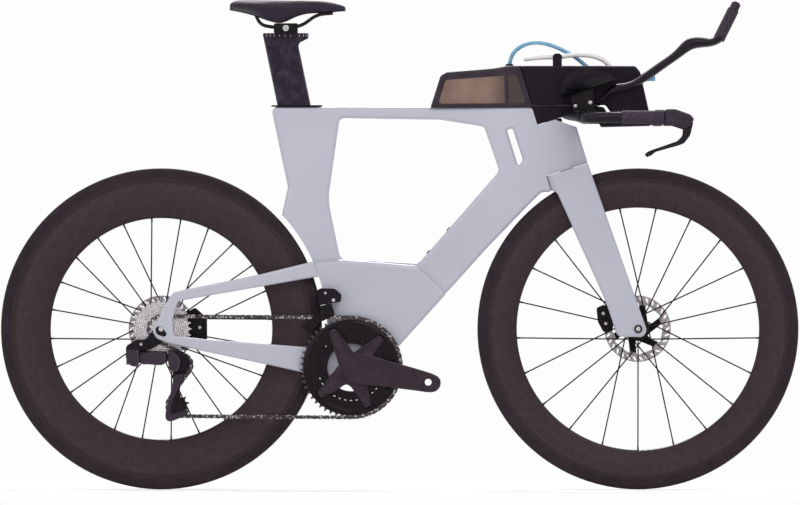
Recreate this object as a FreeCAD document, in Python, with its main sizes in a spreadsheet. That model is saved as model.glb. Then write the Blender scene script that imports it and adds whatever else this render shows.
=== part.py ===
import FreeCAD, Part
import math
import os
from FreeCAD import Placement, Rotation, Vector

# Time trial bike, in millimetres. +X is forward, +Z is up and the drive side is -Y.
# The origin lies on the ground, midway between the axles.
SIZES = {
    # Wheels
    "wheelbase": 1003, "tyre_diameter": 676, "tyre_width": 28, "rim_diameter": 632, "rim_width": 28.4,
    "rim_belly_width": 30, "front_rim_depth": 61, "rear_rim_depth": 83, "rim_nose_width": 15,
    "rim_nose_round": 5,
    "spoke_width": 2.8, "spoke_thickness": 1.4, "spoke_gap": 0.4,
    "front_hub_width": 99.4, "rear_hub_width": 141.4, "hub_radius": 15, "hub_end_radius": 10.5,
    "hub_end_length": 7, "flange_radius": 24, "flange_thickness": 4,
    "front_flange_right": 33, "front_flange_left": 21, "rear_flange_right": 17, "rear_flange_left": 34,
    "rotor_seat_radius": 18, "rotor_seat_length": 9, "freehub_neck_radius": 11.5,
    "axle_radius": 6, "axle_clearance": 0.08, "axle_head_radius": 8.5, "axle_head_length": 2,
    "rotor_radius": 70, "rotor_track": 14, "rotor_thickness": 1.8, "rotor_slot_width": 3.6,
    "rotor_slot_length": 10, "rotor_hub_ring": 26, "front_rotor_place": 39.5, "rear_rotor_place": 55.2,
    # Steering
    "head_angle": 73, "fork_offset": 45, "crown_height": 364.5, "head_tube_length": 107.5,
    "crown_radius": 50, "crown_gap": 2.5, "seam_gap": 0.9, "steerer_radius": 14.3, "steerer_length": 135,
    "bearing_radius": 20.5, "bearing_height": 8, "running_clearance": 0.06,
    "interface_radius": 40, "interface_gap": 1.4,
    # Frame
    "frame_half_width": 17, "head_half_width": 26, "nose_half_width": 9, "frame_round": 9,
    "box_half_width": 32, "box_front_half_width": 22, "box_round": 9, "wheel_gap_radius": 349,
    "spindle_radius": 12, "shell_width": 86.5, "shell_radius": 24, "bracket_bearing_radius": 21,
    "bracket_bearing_width": 9,
    "stay_wheel_inner": 21, "stay_wheel_outer": 35, "dropout_inner": 71, "dropout_outer": 81,
    "stay_round": 4, "hanger_thickness": 3.4, "hanger_clearance": 0.3,
    "dropout_plate_thickness": 1.2, "boss_radius": 5, "boss_height": 2, "boss_bore": 2.5, "boss_depth": 12,
    # Fork blades
    "fork_top_half_width": 31, "fork_end_half_width": 61, "fork_round": 5.5, "tyre_top_gap": 7,
    "blade_top_inner": 20, "blade_low_inner": 43.5, "blade_end_inner": 50,
    # Seatpost
    "post_angle": 11.67, "post_chord": 69, "post_width": 26, "post_clearance": 0.3, "post_insertion": 95,
    "socket_depth": 130, "seal_thickness": 3.4, "wedge_length": 14, "wedge_width": 15, "wedge_height": 38,
    "wedge_drop": 14,
    "boss_spacing": 64, "boss_distance": 162.8, "boss_shank_radius": 4,
    # Drivetrain
    "chain_pitch": 12.7, "roller_radius": 3.85, "roller_clearance": 0.25, "tooth_rise": 2.6,
    "tooth_tip": 1.8,
    "sprocket_thickness": 1.45, "plate_thickness": 0.7, "plate_gap": 2, "plate_clearance": 0.1,
    "pin_radius": 1.8,
    "pin_clearance": 0.1, "plate_radius": 4.1, "chain_lead": 28,
    "cog_pitch": 3.65, "first_cog": 66, "carrier_radius": 17.5, "carrier_start": 24.4, "carrier_end": 68.4,
    "outer_ring_place": 47, "inner_ring_place": 40, "outer_ring_inner": 70, "outer_ring_body": 99.5,
    "ring_thickness": 3.6, "inner_ring_inner": 50, "inner_ring_body": 67, "ring_bolt_radius": 4.5,
    "ring_bolt_circle": 58,
    "crank_length": 165, "crank_angle": 10.8, "crank_hub_radius": 21, "crank_end_radius": 20,
    "crank_arm_inner": 59, "crank_arm_thickness": 13, "crank_round": 4, "spider_reach": 90,
    "spider_root": 24, "spider_tip": 7, "pedal_bore": 7.14, "crank_hub_inner": 44.5, "spindle_recess": 8,
    "spindle_recess_depth": 5, "hub_step": 1,
    "cage_plate": 1.8, "cage_gap": 10, "knuckle_inner": 66.1, "link_length": 79, "cage_pin": 2.5,
    "pulley_hub_radius": 6,
    "pulley_hub_width": 6.4, "derailleur_slant": 25, "pivot_place": 88, "pivot_pin": 2.5,
    "pivot_clearance": 0.08,
    "barrel_radius": 6.5, "barrel_half": 9, "lug_radius": 7, "lug_gap": 0.4, "lug_thickness": 4.5,
    "link_half_width": 3.2, "link_half_height": 6.5, "link_cover_half_width": 5.5,
    "link_cover_half_height": 12.5, "link_cover_margin": 9, "link_round": 3, "lug_web": 8.5,
    "knuckle_outer": 94,
    "derailleur_body_inner": 74.7, "derailleur_body_outer": 93,
    "front_shift_outer": 54.5, "front_shift_inner": 40.5, "front_shift_plate": 1.5, "front_body_outer": 56,
    "front_cage_low": 115, "front_cage_high": 134,
    "rear_caliper_outer": 64.2, "rear_caliper_inner": 47, "front_caliper_outer": 45.6,
    "front_caliper_inner": 33,
    "rotor_side_gap": 0.9, "rotor_edge_gap": 3,
    # Seat
    "post_rise": 160, "clamp_width": 54, "rail_radius": 3.5, "rail_place": 22,
    "rail_back_place": 27, "rail_front_place": 11, "channel_depth": 5, "base_gap": 0.4,
    "base_thickness": 2.2,
    # Tank on the top tube
    "tank_half_width": 27, "tank_round": 6, "tank_wall": 2.2, "pane_thickness": 1.6, "pane_recess": 0.2,
    "cap_radius": 10, "cap_top_radius": 6.5, "cap_height": 6.2,
    # Cockpit
    "above_head_gap": 0.9, "stem_half_width": 24, "drink_half_width": 29, "drink_round": 5,
    "wing_chord": 44, "wing_thickness": 12.6, "wing_middle_chord": 36, "wing_middle_thickness": 11.8,
    "wing_tip_chord": 15, "wing_tip_thickness": 11.7, "wing_end": 142, "wing_overlap": 5,
    "tape_length": 70.4,
    "tape_ring_length": 19, "bar_radius": 11.5, "grip_place": 192,
    "tape_radius": 14.2, "tape_gap": 0.15, "tape_ring_radius": 16, "hood_width": 27, "lever_width": 9,
    "lever_slot": 10,
    "lever_pin": 2.5, "lever_clearance": 0.08, "bracket_inner": 58, "bracket_width": 26, "cup_place": 80,
    "cup_radius": 46, "cup_wall": 2.4, "pad_thickness": 6, "extension_radius": 7.2,
    "extension_half_width": 12.6, "grip_radius": 11.6, "grip_length": 70.1,
    "extension_start": 66, "extension_end": 52, "pod_radius": 9.4, "pod_length": 14.5, "button_radius": 5.7,
    "button_clearance": 0.3, "button_length": 6.5, "button_rise": 2.5, "pocket_depth": 6.5,
    "hose_radius": 4.15,
    "hose_place": 6, "tube_radius": 5, "tube_place": 9, "clip_width": 15, "valve_radius": 8.4,
    "valve_length": 36,
    # One reach for all cuts
    "cut_reach": 220,
}

doc = FreeCAD.newDocument("time_trial_bike")
sheet = doc.addObject("Spreadsheet::Sheet", "sizes")
for row, (alias, value) in enumerate(SIZES.items(), 1):
    sheet.set(f"A{row}", alias)
    sheet.set(f"B{row}", str(value))
    sheet.setAlias(f"B{row}", alias)
doc.recompute()
nodes = {}


def size(alias):
    """Read a driving size from the sheet."""
    return float(sheet.get(alias))


# Side view: pixel places are mapped through the wheelbase.
REAR_AXLE_PX = (161.55, 328.84)
FRONT_AXLE_PX = (637.89, 328.84)
scale = size("wheelbase") / (FRONT_AXLE_PX[0] - REAR_AXLE_PX[0])
middle_px = (FRONT_AXLE_PX[0] + REAR_AXLE_PX[0]) / 2
axle_height = size("tyre_diameter") / 2
rear_x = -size("wheelbase") / 2
front_x = size("wheelbase") / 2


def side(pixel, y=0):
    """Place of a pixel of the side view, at a distance y from the mid-plane."""
    return Vector((pixel[0] - middle_px) * scale, y, axle_height + (REAR_AXLE_PX[1] - pixel[1]) * scale)


def flat(pixels):
    """Side outline as sketch points (x, z, corner radius)."""
    points = []
    for pixel in pixels:
        spot = side(pixel)
        points.append((spot.x, spot.z, pixel[2] * scale if len(pixel) > 2 else 0))
    return points


def rounded(points):
    """Closed outline of straight runs whose corners are rounded by their own radius."""
    cuts = []
    count = len(points)
    for index, point in enumerate(points):
        corner = Vector(point[0], point[1], 0)
        before = Vector(points[index - 1][0], points[index - 1][1], 0) - corner
        after = Vector(points[(index + 1) % count][0], points[(index + 1) % count][1], 0) - corner
        radius = point[2] if len(point) > 2 else 0
        half_angle = before.getAngle(after) / 2
        if radius <= 0 or half_angle > math.pi * STRAIGHT_SHARE / 2:
            cuts.append((corner, None, corner))
            continue
        reach = min(radius / math.tan(half_angle), CORNER_SHARE * before.Length,
                    CORNER_SHARE * after.Length)
        radius = reach * math.tan(half_angle)
        bisector = (before.normalize() + after.normalize()).normalize()
        middle = corner + bisector * (radius / math.sin(half_angle) - radius)
        cuts.append((corner + before * reach, middle, corner + after * reach))
    curves = []
    for index, (start, middle, end) in enumerate(cuts):
        if middle is not None:
            curves.append(Part.Arc(start, middle, end))
        following = cuts[(index + 1) % count][0]
        if (following - end).Length > TINY:
            curves.append(Part.LineSegment(end, following))
    return curves


STRAIGHT_SHARE = 0.999
CORNER_SHARE = 0.49
TINY = 1e-6


def circle(x, y, radius):
    """Full circle in sketch coordinates."""
    return [Part.Circle(Vector(x, y, 0), Vector(0, 0, 1), radius)]


def draw(body, role, curves, offset=0):
    """Sketch on one of the body's own origin planes, moved along its normal by offset."""
    plane = [item for item in body.Origin.OriginFeatures if item.Role == role][0]
    sketch = body.newObject("Sketcher::SketchObject", body.Name + "_sketch")
    sketch.AttachmentSupport = (plane, [""])
    sketch.MapMode = "FlatFace"
    sketch.AttachmentOffset = Placement(Vector(0, 0, offset), Rotation())
    sketch.addGeometry(curves, False)
    return sketch


def padded(name, role, curves, length, offset=0, symmetric=True):
    """Body padded from one sketch; length is an expression over the sheet."""
    body = doc.addObject("PartDesign::Body", name)
    pad = body.newObject("PartDesign::Pad", name + "_pad")
    pad.Profile = draw(body, role, curves, offset)
    pad.SideType = "Symmetric" if symmetric else "One side"
    pad.setExpression("Length", length)
    return body


def turned(name, points, place):
    """Body revolved about its own Z axis from (radius, height, corner radius) points."""
    body = doc.addObject("PartDesign::Body", name)
    turn = body.newObject("PartDesign::Revolution", name + "_turn")
    sketch = draw(body, "XZ_Plane", rounded(points))
    turn.Profile = sketch
    turn.ReferenceAxis = (sketch, ["V_Axis"])
    body.Placement = place
    return body


def cylinder(name, radius, height, place):
    """Cylinder along its own Z; radius and height are expressions."""
    solid = doc.addObject("Part::Cylinder", name)
    solid.setExpression("Radius", radius)
    solid.setExpression("Height", height)
    solid.Placement = place
    return solid


def block(name, length, width, height, place):
    """Box from its own corner; sizes are expressions."""
    solid = doc.addObject("Part::Box", name)
    solid.setExpression("Length", length)
    solid.setExpression("Width", width)
    solid.setExpression("Height", height)
    solid.Placement = place
    return solid


def cut(name, base, *tools):
    """Base with the tools taken away one after another."""
    for index, tool in enumerate(tools):
        result = doc.addObject("Part::Cut", f"{name}_cut{index}")
        result.Base = base
        result.Tool = tool
        base = result
    return base


def fuse(name, *shapes):
    """One solid of several overlapping ones."""
    result = doc.addObject("Part::MultiFuse", name + "_fuse")
    result.Shapes = list(shapes)
    return result


def common(name, first, second):
    """What two solids share."""
    result = doc.addObject("Part::Common", name + "_common")
    result.Base = first
    result.Tool = second
    return result


def group(name, *shapes):
    """Separate solids of one piece set."""
    result = doc.addObject("Part::Compound", name + "_group")
    result.Links = list(shapes)
    return result


def mirrored(name, source):
    """The same piece on the other side of the mid-plane."""
    result = doc.addObject("Part::Mirroring", name + "_mirror")
    result.Source = source
    result.Normal = Vector(0, 1, 0)
    return result


def softened(name, base, radius, wanted):
    """Base with a fillet on each edge that is wanted."""
    doc.recompute()
    result = doc.addObject("Part::Fillet", name + "_fillet")
    result.Base = base
    edges = [index for index, edge in enumerate(base.Shape.Edges, 1) if wanted(edge)]
    result.Edges = [(index, radius, radius) for index in edges]
    return result


def node(name, item):
    """Keep a finished piece under its own name."""
    item.Label = name
    nodes[name] = item
    return item


ACROSS = Rotation(Vector(1, 0, 0), 90)


def across(x, y, z):
    """Placement whose own Z axis points along -Y, for pieces turned about a wheel axle."""
    return Placement(Vector(x, y, z), ACROSS)


# Steering axis: local Z runs up the head tube, local X points forward.
tilt = math.radians(size("head_angle"))
axis_up = Vector(-math.cos(tilt), 0, math.sin(tilt))
axis_forward = Vector(math.sin(tilt), 0, math.cos(tilt))
axis_foot = Vector(front_x, 0, axle_height) - axis_forward * size("fork_offset")
seam_point = axis_foot + axis_up * size("crown_height")
axis_turn = Rotation(Vector(0, 1, 0), size("head_angle") - 90)


def steered(forward, y, up):
    """Placement in the steering frame, measured from the fork crown seam."""
    return Placement(seam_point + axis_forward * forward + Vector(0, y, 0) + axis_up * up, axis_turn)


# Main frame: a narrow upper layer, a wide bottom bracket box and the bottom bracket shell.
FRAME_PX = [
    (271.2, 106.8, 5.5), (570, 106.8, 6), (597, 192, 6), (541.5, 192, 8), (528.8, 204.4, 30),
    (487.4, 247.5, 90),
    (452.5, 286.5, 60), (399, 341.5, 40), (372, 369, 14), (351, 375.5, 20), (327, 371, 6), (303, 300, 8),
    (293, 240, 8), (281.5, 217.5, 6), (287.9, 187, 7), (274.2, 122.4, 20),
]
TRIANGLE_PX = [
    (339.8, 118.2, 5), (441, 119.9, 40), (484, 126.8, 5), (499.2, 171, 6), (419, 263, 7), (340.2, 258.4, 6),
    (328.2, 199.5, 60),
]
HEAD_SLOT_PX = [(506.8, 130, 1.6), (512.5, 128.3, 2), (523, 160, 4), (518.3, 166.5, 1.6)]
BOX_PX = [
    (296, 263.5, 4), (343, 259.5, 20), (417, 265.5, 9), (441, 287, 6), (447, 293, 5), (399, 346.3, 40),
    (374, 374, 14), (351, 380.5, 20), (324, 377, 6), (300, 330, 6),
]
MIDDLE_PX = 300


def plan(table):
    """Closed plan outline, even about the mid-plane, from (pixel, half width, corner radius)."""
    near = [(side((pixel, MIDDLE_PX)).x, -size(half), radius * scale) for pixel, half, radius in table]
    far = [(x, -y, radius) for x, y, radius in reversed(near)]
    return near + far


FRAME_PLAN_PX = [(255, "frame_half_width", 0), (430, "frame_half_width", 90), (535, "head_half_width", 30),
                 (568, "head_half_width", 14), (592, "nose_half_width", 4)]
BOX_PLAN_PX = [(280, "box_half_width", 0), (400, "box_half_width", 30), (452, "box_front_half_width", 0)]
frame_plan = plan(FRAME_PLAN_PX)
box_plan = plan(BOX_PLAN_PX)
frame_side = padded("frame_side", "XZ_Plane", rounded(flat(FRAME_PX)) + rounded(flat(TRIANGLE_PX))
                    + rounded(flat(HEAD_SLOT_PX)), "sizes.head_half_width * 4")
frame_band = padded("frame_band", "XY_Plane", rounded(frame_plan), "sizes.tyre_diameter * 2", axle_height)
upper_layer = common("upper_layer", frame_side, frame_band)


def side_edge(edge):
    """Edge between the outline's walls and a flank, not across the frame nor up a flank's own seam."""
    box = edge.BoundBox
    return box.YLength < edge.Length * FLANK_SHARE and box.XLength > edge.Length * SEAM_SHARE


FLANK_SHARE = 0.9
SEAM_SHARE = 0.001
upper_soft = softened("upper_soft", upper_layer, size("frame_round"), side_edge)
box_side = padded("box_side", "XZ_Plane", rounded(flat(BOX_PX)), "sizes.box_half_width * 4")
box_band = padded("box_band", "XY_Plane", rounded(box_plan), "sizes.tyre_diameter * 2", axle_height)
box_layer = common("box_layer", box_side, box_band)
box_soft = softened("box_soft", box_layer, size("box_round"), side_edge)

reach = size("cut_reach")
above_head_round = cylinder("above_head_round", "sizes.interface_radius + sizes.interface_gap",
                            "sizes.cut_reach",
                            steered(0, 0, size("head_tube_length")))
above_head_front = block("above_head_front", "sizes.cut_reach", "sizes.cut_reach", "sizes.cut_reach",
                         steered(0, -reach / 2, size("head_tube_length")))
NOSE_TOP_PX = [(556, 120.2), (575.5, 126.8)]
nose_start = side(NOSE_TOP_PX[0])
nose_run = side(NOSE_TOP_PX[1]) - nose_start
nose_slope = math.degrees(math.atan2(-nose_run.z, nose_run.x))
above_nose = block("above_nose", "sizes.cut_reach", "sizes.cut_reach", "sizes.cut_reach",
                   Placement(nose_start - Vector(0, reach / 2, 0), Rotation(Vector(0, 1, 0), nose_slope)))
below_head_round = cylinder("below_head_round", "sizes.crown_radius + sizes.crown_gap", "sizes.cut_reach",
                            steered(0, 0, -reach))
below_head_front = block("below_head_front", "sizes.cut_reach", "sizes.cut_reach", "sizes.cut_reach",
                         steered(0, -reach / 2, -reach))
head_bore = cylinder("head_bore", "sizes.bearing_radius", "sizes.head_tube_length * 2",
                     steered(0, 0, -size("head_tube_length") / 2))
rear_wheel_space = cylinder("rear_wheel_space", "sizes.wheel_gap_radius", "sizes.cut_reach",
                            across(rear_x, reach / 2, axle_height))

# Seat tube socket, its wedge pocket and the seatpost's own axis.
POST_MOUTH_PX = (294, 105)
post_mouth = side(POST_MOUTH_PX)
post_turn = Rotation(Vector(0, 1, 0), -size("post_angle"))
post_up = post_turn.multVec(Vector(0, 0, 1))


def post_place(forward, y, up):
    """Placement in the seatpost's frame, measured from the socket's mouth."""
    return Placement(post_mouth + post_turn.multVec(Vector(forward, y, up)), post_turn)


def stadium(chord, width):
    """Oval section of the seatpost, long side forward."""
    half = chord / 2
    rim = width / 2
    return rounded([(-half, -rim, rim), (half, -rim, rim), (half, rim, rim), (-half, rim, rim)])


clearance = size("post_clearance")
socket = padded("socket", "XY_Plane", stadium(size("post_chord") + 2 * clearance,
                                              size("post_width") + 2 * clearance),
                "sizes.socket_depth * 2")
socket.Placement = post_place(0, 0, 0)
wedge_front = size("post_chord") / 2 - size("wedge_length") / 2
wedge_pocket = block("wedge_pocket", "sizes.wedge_length", "sizes.wedge_width", "sizes.wedge_height",
                     post_place(wedge_front, -size("wedge_width") / 2,
                                -size("wedge_drop") - size("wedge_height")))

# Bottom bracket shell and the drink bottle bosses on the down tube.
BRACKET_PX = (351.2, 367.3)
bracket = side(BRACKET_PX)
shell = cylinder("shell", "sizes.shell_radius", "sizes.shell_width",
                 across(bracket.x, size("shell_width") / 2, bracket.z))
shell_bore = cylinder("shell_bore", "sizes.bracket_bearing_radius", "sizes.cut_reach",
                      across(bracket.x, reach / 2, bracket.z))
tube_top = side(TRIANGLE_PX[3])
tube_run = (side(TRIANGLE_PX[4]) - tube_top).normalize()
boss_out = Vector(tube_run.z, 0, -tube_run.x)
boss_turn = Rotation(Vector(0, 0, 1), boss_out)
boss_places = [tube_top + tube_run * (size("boss_distance") + step) for step in (0, size("boss_spacing"))]
boss_holes = []
boss_parts = []
for index, spot in enumerate(boss_places):
    seat = Placement(spot, boss_turn)
    deep = Placement(spot - boss_out * size("boss_depth"), boss_turn)
    boss_holes.append(cylinder(f"boss_hole{index}", "sizes.boss_shank_radius", "sizes.boss_depth", deep))
    flange = cylinder(f"boss_flange{index}", "sizes.boss_radius", "sizes.boss_height", seat)
    shank = cylinder(f"boss_shank{index}", "sizes.boss_shank_radius", "sizes.boss_depth", deep)
    thread = cylinder(f"boss_thread{index}", "sizes.boss_bore", "sizes.boss_depth * 2", deep)
    boss_parts.append(cut(f"boss{index}", fuse(f"boss{index}", flange, shank), thread))

frame_whole = fuse("frame_whole", upper_soft, box_soft, shell)
main_frame = cut("main_frame", frame_whole, above_head_round, above_head_front, above_nose,
                 below_head_round,
                 below_head_front, head_bore, rear_wheel_space, socket, wedge_pocket, shell_bore, *boss_holes)
node("main_frame", main_frame)
node("bottle_bosses", group("bottle_bosses", *boss_parts))
wedge_block = block("wedge_block", "sizes.wedge_length", "sizes.wedge_width", "sizes.wedge_height",
                    post_place(wedge_front, -size("wedge_width") / 2,
                               -size("wedge_drop") - size("wedge_height")))
node("seatpost_wedge", cut("seatpost_wedge", wedge_block, socket))
SEAL_PX = (271.4, 322.4)
seal_start = side((SEAL_PX[0], FRAME_PX[0][1]))
seal_end = side((SEAL_PX[1], FRAME_PX[0][1]))
seal_half = size("frame_half_width")
seal = padded("seal", "XY_Plane", rounded([
    (seal_start.x, -seal_half, seal_half), (seal_end.x, -seal_half, seal_half),
    (seal_end.x, seal_half, seal_half),
    (seal_start.x, seal_half, seal_half)]), "sizes.seal_thickness", seal_start.z, False)
node("seat_tube_seal", cut("seat_tube_seal", seal, socket))


def ring(name, outer, inner, height, place):
    """Bearing ring; sizes are expressions."""
    body = cylinder(name + "_body", outer, height, place)
    bore = cylinder(name + "_bore", inner, height, place)
    return cut(name, body, bore)


steerer_fit = "sizes.steerer_radius + sizes.running_clearance"
spindle_fit = "sizes.spindle_radius + sizes.running_clearance"
bearing_width = size("bracket_bearing_width")
node("frame_bearings", group(
    "frame_bearings",
    ring("lower_headset", "sizes.bearing_radius", steerer_fit, "sizes.bearing_height", steered(0, 0, 0)),
    ring("upper_headset", "sizes.bearing_radius", steerer_fit, "sizes.bearing_height",
         steered(0, 0, size("head_tube_length") - size("bearing_height"))),
    ring("right_bracket", "sizes.bracket_bearing_radius", spindle_fit, "sizes.bracket_bearing_width",
         across(bracket.x, bearing_width - size("shell_width") / 2, bracket.z)),
    ring("left_bracket", "sizes.bracket_bearing_radius", spindle_fit, "sizes.bracket_bearing_width",
         across(bracket.x, size("shell_width") / 2, bracket.z))))

# Rear stays: one C-shaped ring on each side, from the box round the dropout and back.
STAY_PX = [
    (325, 258.5, 0), (257, 275.1, 60), (188.6, 288.8, 20), (173, 292.6, 8), (164.8, 306.1, 20),
    (152.6, 331, 5),
    (157, 338.5, 6), (171, 344, 14), (206.7, 351.6, 60), (270, 365, 60), (332, 379, 0), (332, 348.3, 0),
    (304.4, 346.7, 20), (206.7, 339.1, 60), (173.8, 335.6, 4), (173, 320.1, 12), (178.3, 300.9, 6),
    (264.5, 286, 60), (325, 275.5, 0),
]
stay_plan = [
    (340, "stay_wheel_outer", 0), (303, "stay_wheel_outer", 40), (191, "dropout_outer", 30),
    (140, "dropout_outer", 0),
    (140, "dropout_inner", 0), (194, "dropout_inner", 20), (298, "stay_wheel_inner", 30),
    (340, "stay_wheel_inner", 0),
]
stay_outline = [(side((pixel, MIDDLE_PX)).x, -size(half), radius * scale) for pixel, half,
                radius in stay_plan]
stay_side = padded("stay_side", "XZ_Plane", rounded(flat(STAY_PX)), "sizes.cut_reach")
stay_band = padded("stay_band", "XY_Plane", rounded(stay_outline), "sizes.tyre_diameter * 2", axle_height)
stay_whole = common("stay_whole", stay_side, stay_band)
stay_end = side(STAY_PX[0]).x


def stay_edge(edge):
    """Long edge of a stay, not on the end that meets the frame."""
    return side_edge(edge) and edge.BoundBox.XMin < stay_end - size("stay_round")


stay_soft = softened("stay_soft", stay_whole, size("stay_round"), stay_edge)
stay_trim = common("stay_trim", stay_soft, rear_wheel_space)
axle_hole = cylinder("axle_hole", "sizes.axle_radius", "sizes.cut_reach",
                     across(rear_x, reach / 2, axle_height))
stay_bored = cut("stay_bored", stay_trim, axle_hole)

# Hanger: a plate let into the inner face of the right dropout.
HANGER_PX = [(156, 326, 4), (171, 322, 8), (173, 335, 8), (157, 346, 6), (147, 351, 6), (138, 352, 7),
             (137, 342, 5), (147, 338.5, 6)]
HANGER_BOLT_PX = (142.6, 345)
hanger_pocket = padded("hanger_pocket", "XZ_Plane", rounded(flat(HANGER_PX)),
                       "sizes.hanger_thickness + sizes.hanger_clearance",
                       size("dropout_inner") - clearance, False)
hanger_plate = padded("hanger_plate", "XZ_Plane", rounded(flat(HANGER_PX)), "sizes.hanger_thickness",
                      size("dropout_inner"), False)
hanger_spot = side(HANGER_BOLT_PX)
node("rear_stays_right", cut("rear_stays_right", stay_bored, hanger_pocket))
node("rear_stays_left", mirrored("rear_stays_left", stay_bored))
node("derailleur_hanger", cut("derailleur_hanger", hanger_plate, axle_hole))
# Fork: side outline between two slanted flanks, with the tyre's slot taken out, and its steerer.
FORK_PX = [
    (540, 150, 0), (583, 150, 0), (646.6, 330, 6), (643, 337, 6), (617.4, 336.5, 6), (604, 297, 90),
    (556, 191, 8),
    (540, 190, 0),
]
FORK_FRONT_PX = [(150, "fork_top_half_width"), (345, "fork_end_half_width")]
fork_side = padded("fork_side", "XZ_Plane", rounded(flat(FORK_PX)), "sizes.cut_reach")


def front_outline(table):
    """Closed front-view outline, even about the mid-plane, from (pixel height, half width)."""
    right = [(-size(half), side((0, pixel)).z) for pixel, half in table]
    return right + [(-y, z) for y, z in reversed(right)]


fork_band = padded("fork_band", "YZ_Plane", rounded(front_outline(FORK_FRONT_PX)), "sizes.wheelbase * 2")
fork_whole = common("fork_whole", fork_side, fork_band)


def blade_edge(edge):
    """Edge down a blade's front or back, not a crease along its flank."""
    return side_edge(edge) and edge.BoundBox.ZLength > edge.BoundBox.XLength * CREASE_SHARE


CREASE_SHARE = 0.5
fork_soft = softened("fork_soft", fork_whole, size("fork_round"), blade_edge)
FORK_SLOT_PX = [(150, "blade_top_inner"), (196, "blade_top_inner"), (300, "blade_low_inner"),
                (312, "blade_end_inner"),
                (360, "blade_end_inner")]
fork_slot = padded("fork_slot", "YZ_Plane", rounded(front_outline(FORK_SLOT_PX)), "sizes.wheelbase * 2")
tyre_space = cylinder("tyre_space", "sizes.tyre_diameter / 2 + sizes.tyre_top_gap", "sizes.cut_reach",
                      across(front_x, reach / 2, axle_height))
tyre_slot = common("tyre_slot", fork_slot, tyre_space)
crown_top = block("crown_top", "sizes.cut_reach * 2", "sizes.cut_reach", "sizes.cut_reach",
                  steered(-reach, -reach / 2, -size("seam_gap")))
crown_back_block = block("crown_back_block", "sizes.cut_reach", "sizes.cut_reach", "sizes.cut_reach",
                         steered(-reach, -reach / 2, -reach / 2))
crown_round = cylinder("crown_round", "sizes.crown_radius", "sizes.cut_reach * 2", steered(0, 0, -reach))
crown_back = cut("crown_back", crown_back_block, crown_round)
steerer = cylinder("steerer", "sizes.steerer_radius", "sizes.steerer_length + sizes.bearing_height",
                   steered(0, 0, -size("bearing_height")))
front_axle_hole = cylinder("front_axle_hole", "sizes.axle_radius", "sizes.cut_reach",
                           across(front_x, reach / 2, axle_height))
fork_trim = cut("fork_trim", fork_soft, tyre_slot, crown_top, crown_back, front_axle_hole)
node("fork", fuse("fork", fork_trim, steerer))
# Wheels: tyre, deep rim, bladed spokes, hub and disc rotor, all turned about the axle.
def wheel_rim(name, x, depth):
    """Deep rim of aerofoil section."""
    edge = size("rim_diameter") / 2
    inner = edge - size(depth)
    half_edge = size("rim_width") / 2
    belly = size("rim_belly_width") / 2
    nose = size("rim_nose_width") / 2
    belly_radius = edge - size(depth) * RIM_BELLY_SHARE
    nose_round = size("rim_nose_round")
    points = [(edge, -half_edge, 0), (edge, half_edge, 0), (belly_radius, belly, size(depth)),
              (inner, nose, nose_round),
              (inner, -nose, nose_round), (belly_radius, -belly, size(depth))]
    return turned(name, points, across(x, 0, axle_height))


RIM_BELLY_SHARE = 0.4


def wheel_tyre(name, x):
    """Tyre: a round section that sits on the rim's edge."""
    edge = size("rim_diameter") / 2
    outer = size("tyre_diameter") / 2
    half = size("tyre_width") / 2
    foot = size("rim_width") / 2
    shoulder = outer - half
    points = [(edge, -foot, 0), (shoulder, -half, half / 2), (outer, -half, half), (outer, half, half),
              (shoulder, half, half / 2), (edge, foot, 0)]
    return turned(name, points, across(x, 0, axle_height))


def hub(name, x, width, flange_right, flange_left, rotor_place, neck):
    """Hub shell: two flanges, a rotor seat on the left and, at the rear, a neck for the freehub."""
    half = size(width) / 2
    radius = size("hub_radius")
    flange = size("flange_radius")
    thick = size("flange_thickness") / 2
    end = size("hub_end_radius")
    left = size(flange_left)
    right = size(flange_right)
    seat = size("rotor_seat_radius")
    seat_start = size(rotor_place) - size("rotor_thickness") / 2
    seat_shoulder = seat_start - size("rotor_seat_length") / 2
    bore = size("axle_radius") + size("axle_clearance")
    right_end = size(neck)
    points = [(bore, half), (bore, -half), (end, -half), (end, size("hub_end_length") - half),
              (seat, size("hub_end_length") - half), (seat, -seat_start), (seat + thick, -seat_start),
              (seat + thick, -seat_shoulder), (radius, -seat_shoulder), (radius, -left - thick),
              (flange, -left - thick), (flange, -left + thick), (radius, -left + thick),
              (radius, right - thick),
              (flange, right - thick), (flange, right + thick), (right_end, right + thick),
              (right_end, half - size("hub_end_length")), (end, half - size("hub_end_length")), (end, half)]
    return turned(name, points, across(x, 0, axle_height))


def spokes(name, x, count, phase, depth, few, many, few_side):
    """Bladed spokes: every third runs straight to one flange, the rest cross to the other."""
    blades = []
    rim_inner = size("rim_diameter") / 2 - size(depth) - size("spoke_gap")
    for index in range(count):
        rim_angle = math.radians(phase + index * 360 / count)
        lean = (0, CROSS_ANGLE, -CROSS_ANGLE)[index % 3]
        hub_angle = rim_angle + math.radians(lean)
        tilt = abs(math.sin(math.radians(lean)))
        hub_outer = size("flange_radius") + size("spoke_gap") + tilt * size("spoke_width") / 2
        hub_y = few_side * size(few) if index % 3 == 0 else -few_side * size(many)
        start = Vector(hub_outer * math.cos(hub_angle), hub_y, hub_outer * math.sin(hub_angle))
        finish = Vector(rim_inner * math.cos(rim_angle), 0, rim_inner * math.sin(rim_angle))
        run = finish - start
        turn = Rotation(Vector(), Vector(0, 1, 0), run, "ZYX")
        centre = Vector(x, 0, axle_height) + start
        corner = turn.multVec(Vector(-size("spoke_width") / 2, -size("spoke_thickness") / 2, 0))
        blade = doc.addObject("Part::Box", f"{name}_{index}")
        blade.setExpression("Length", "sizes.spoke_width")
        blade.setExpression("Width", "sizes.spoke_thickness")
        blade.Height = run.Length
        blade.Placement = Placement(centre + corner, turn)
        blades.append(blade)
    return group(name, *blades)


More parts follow.
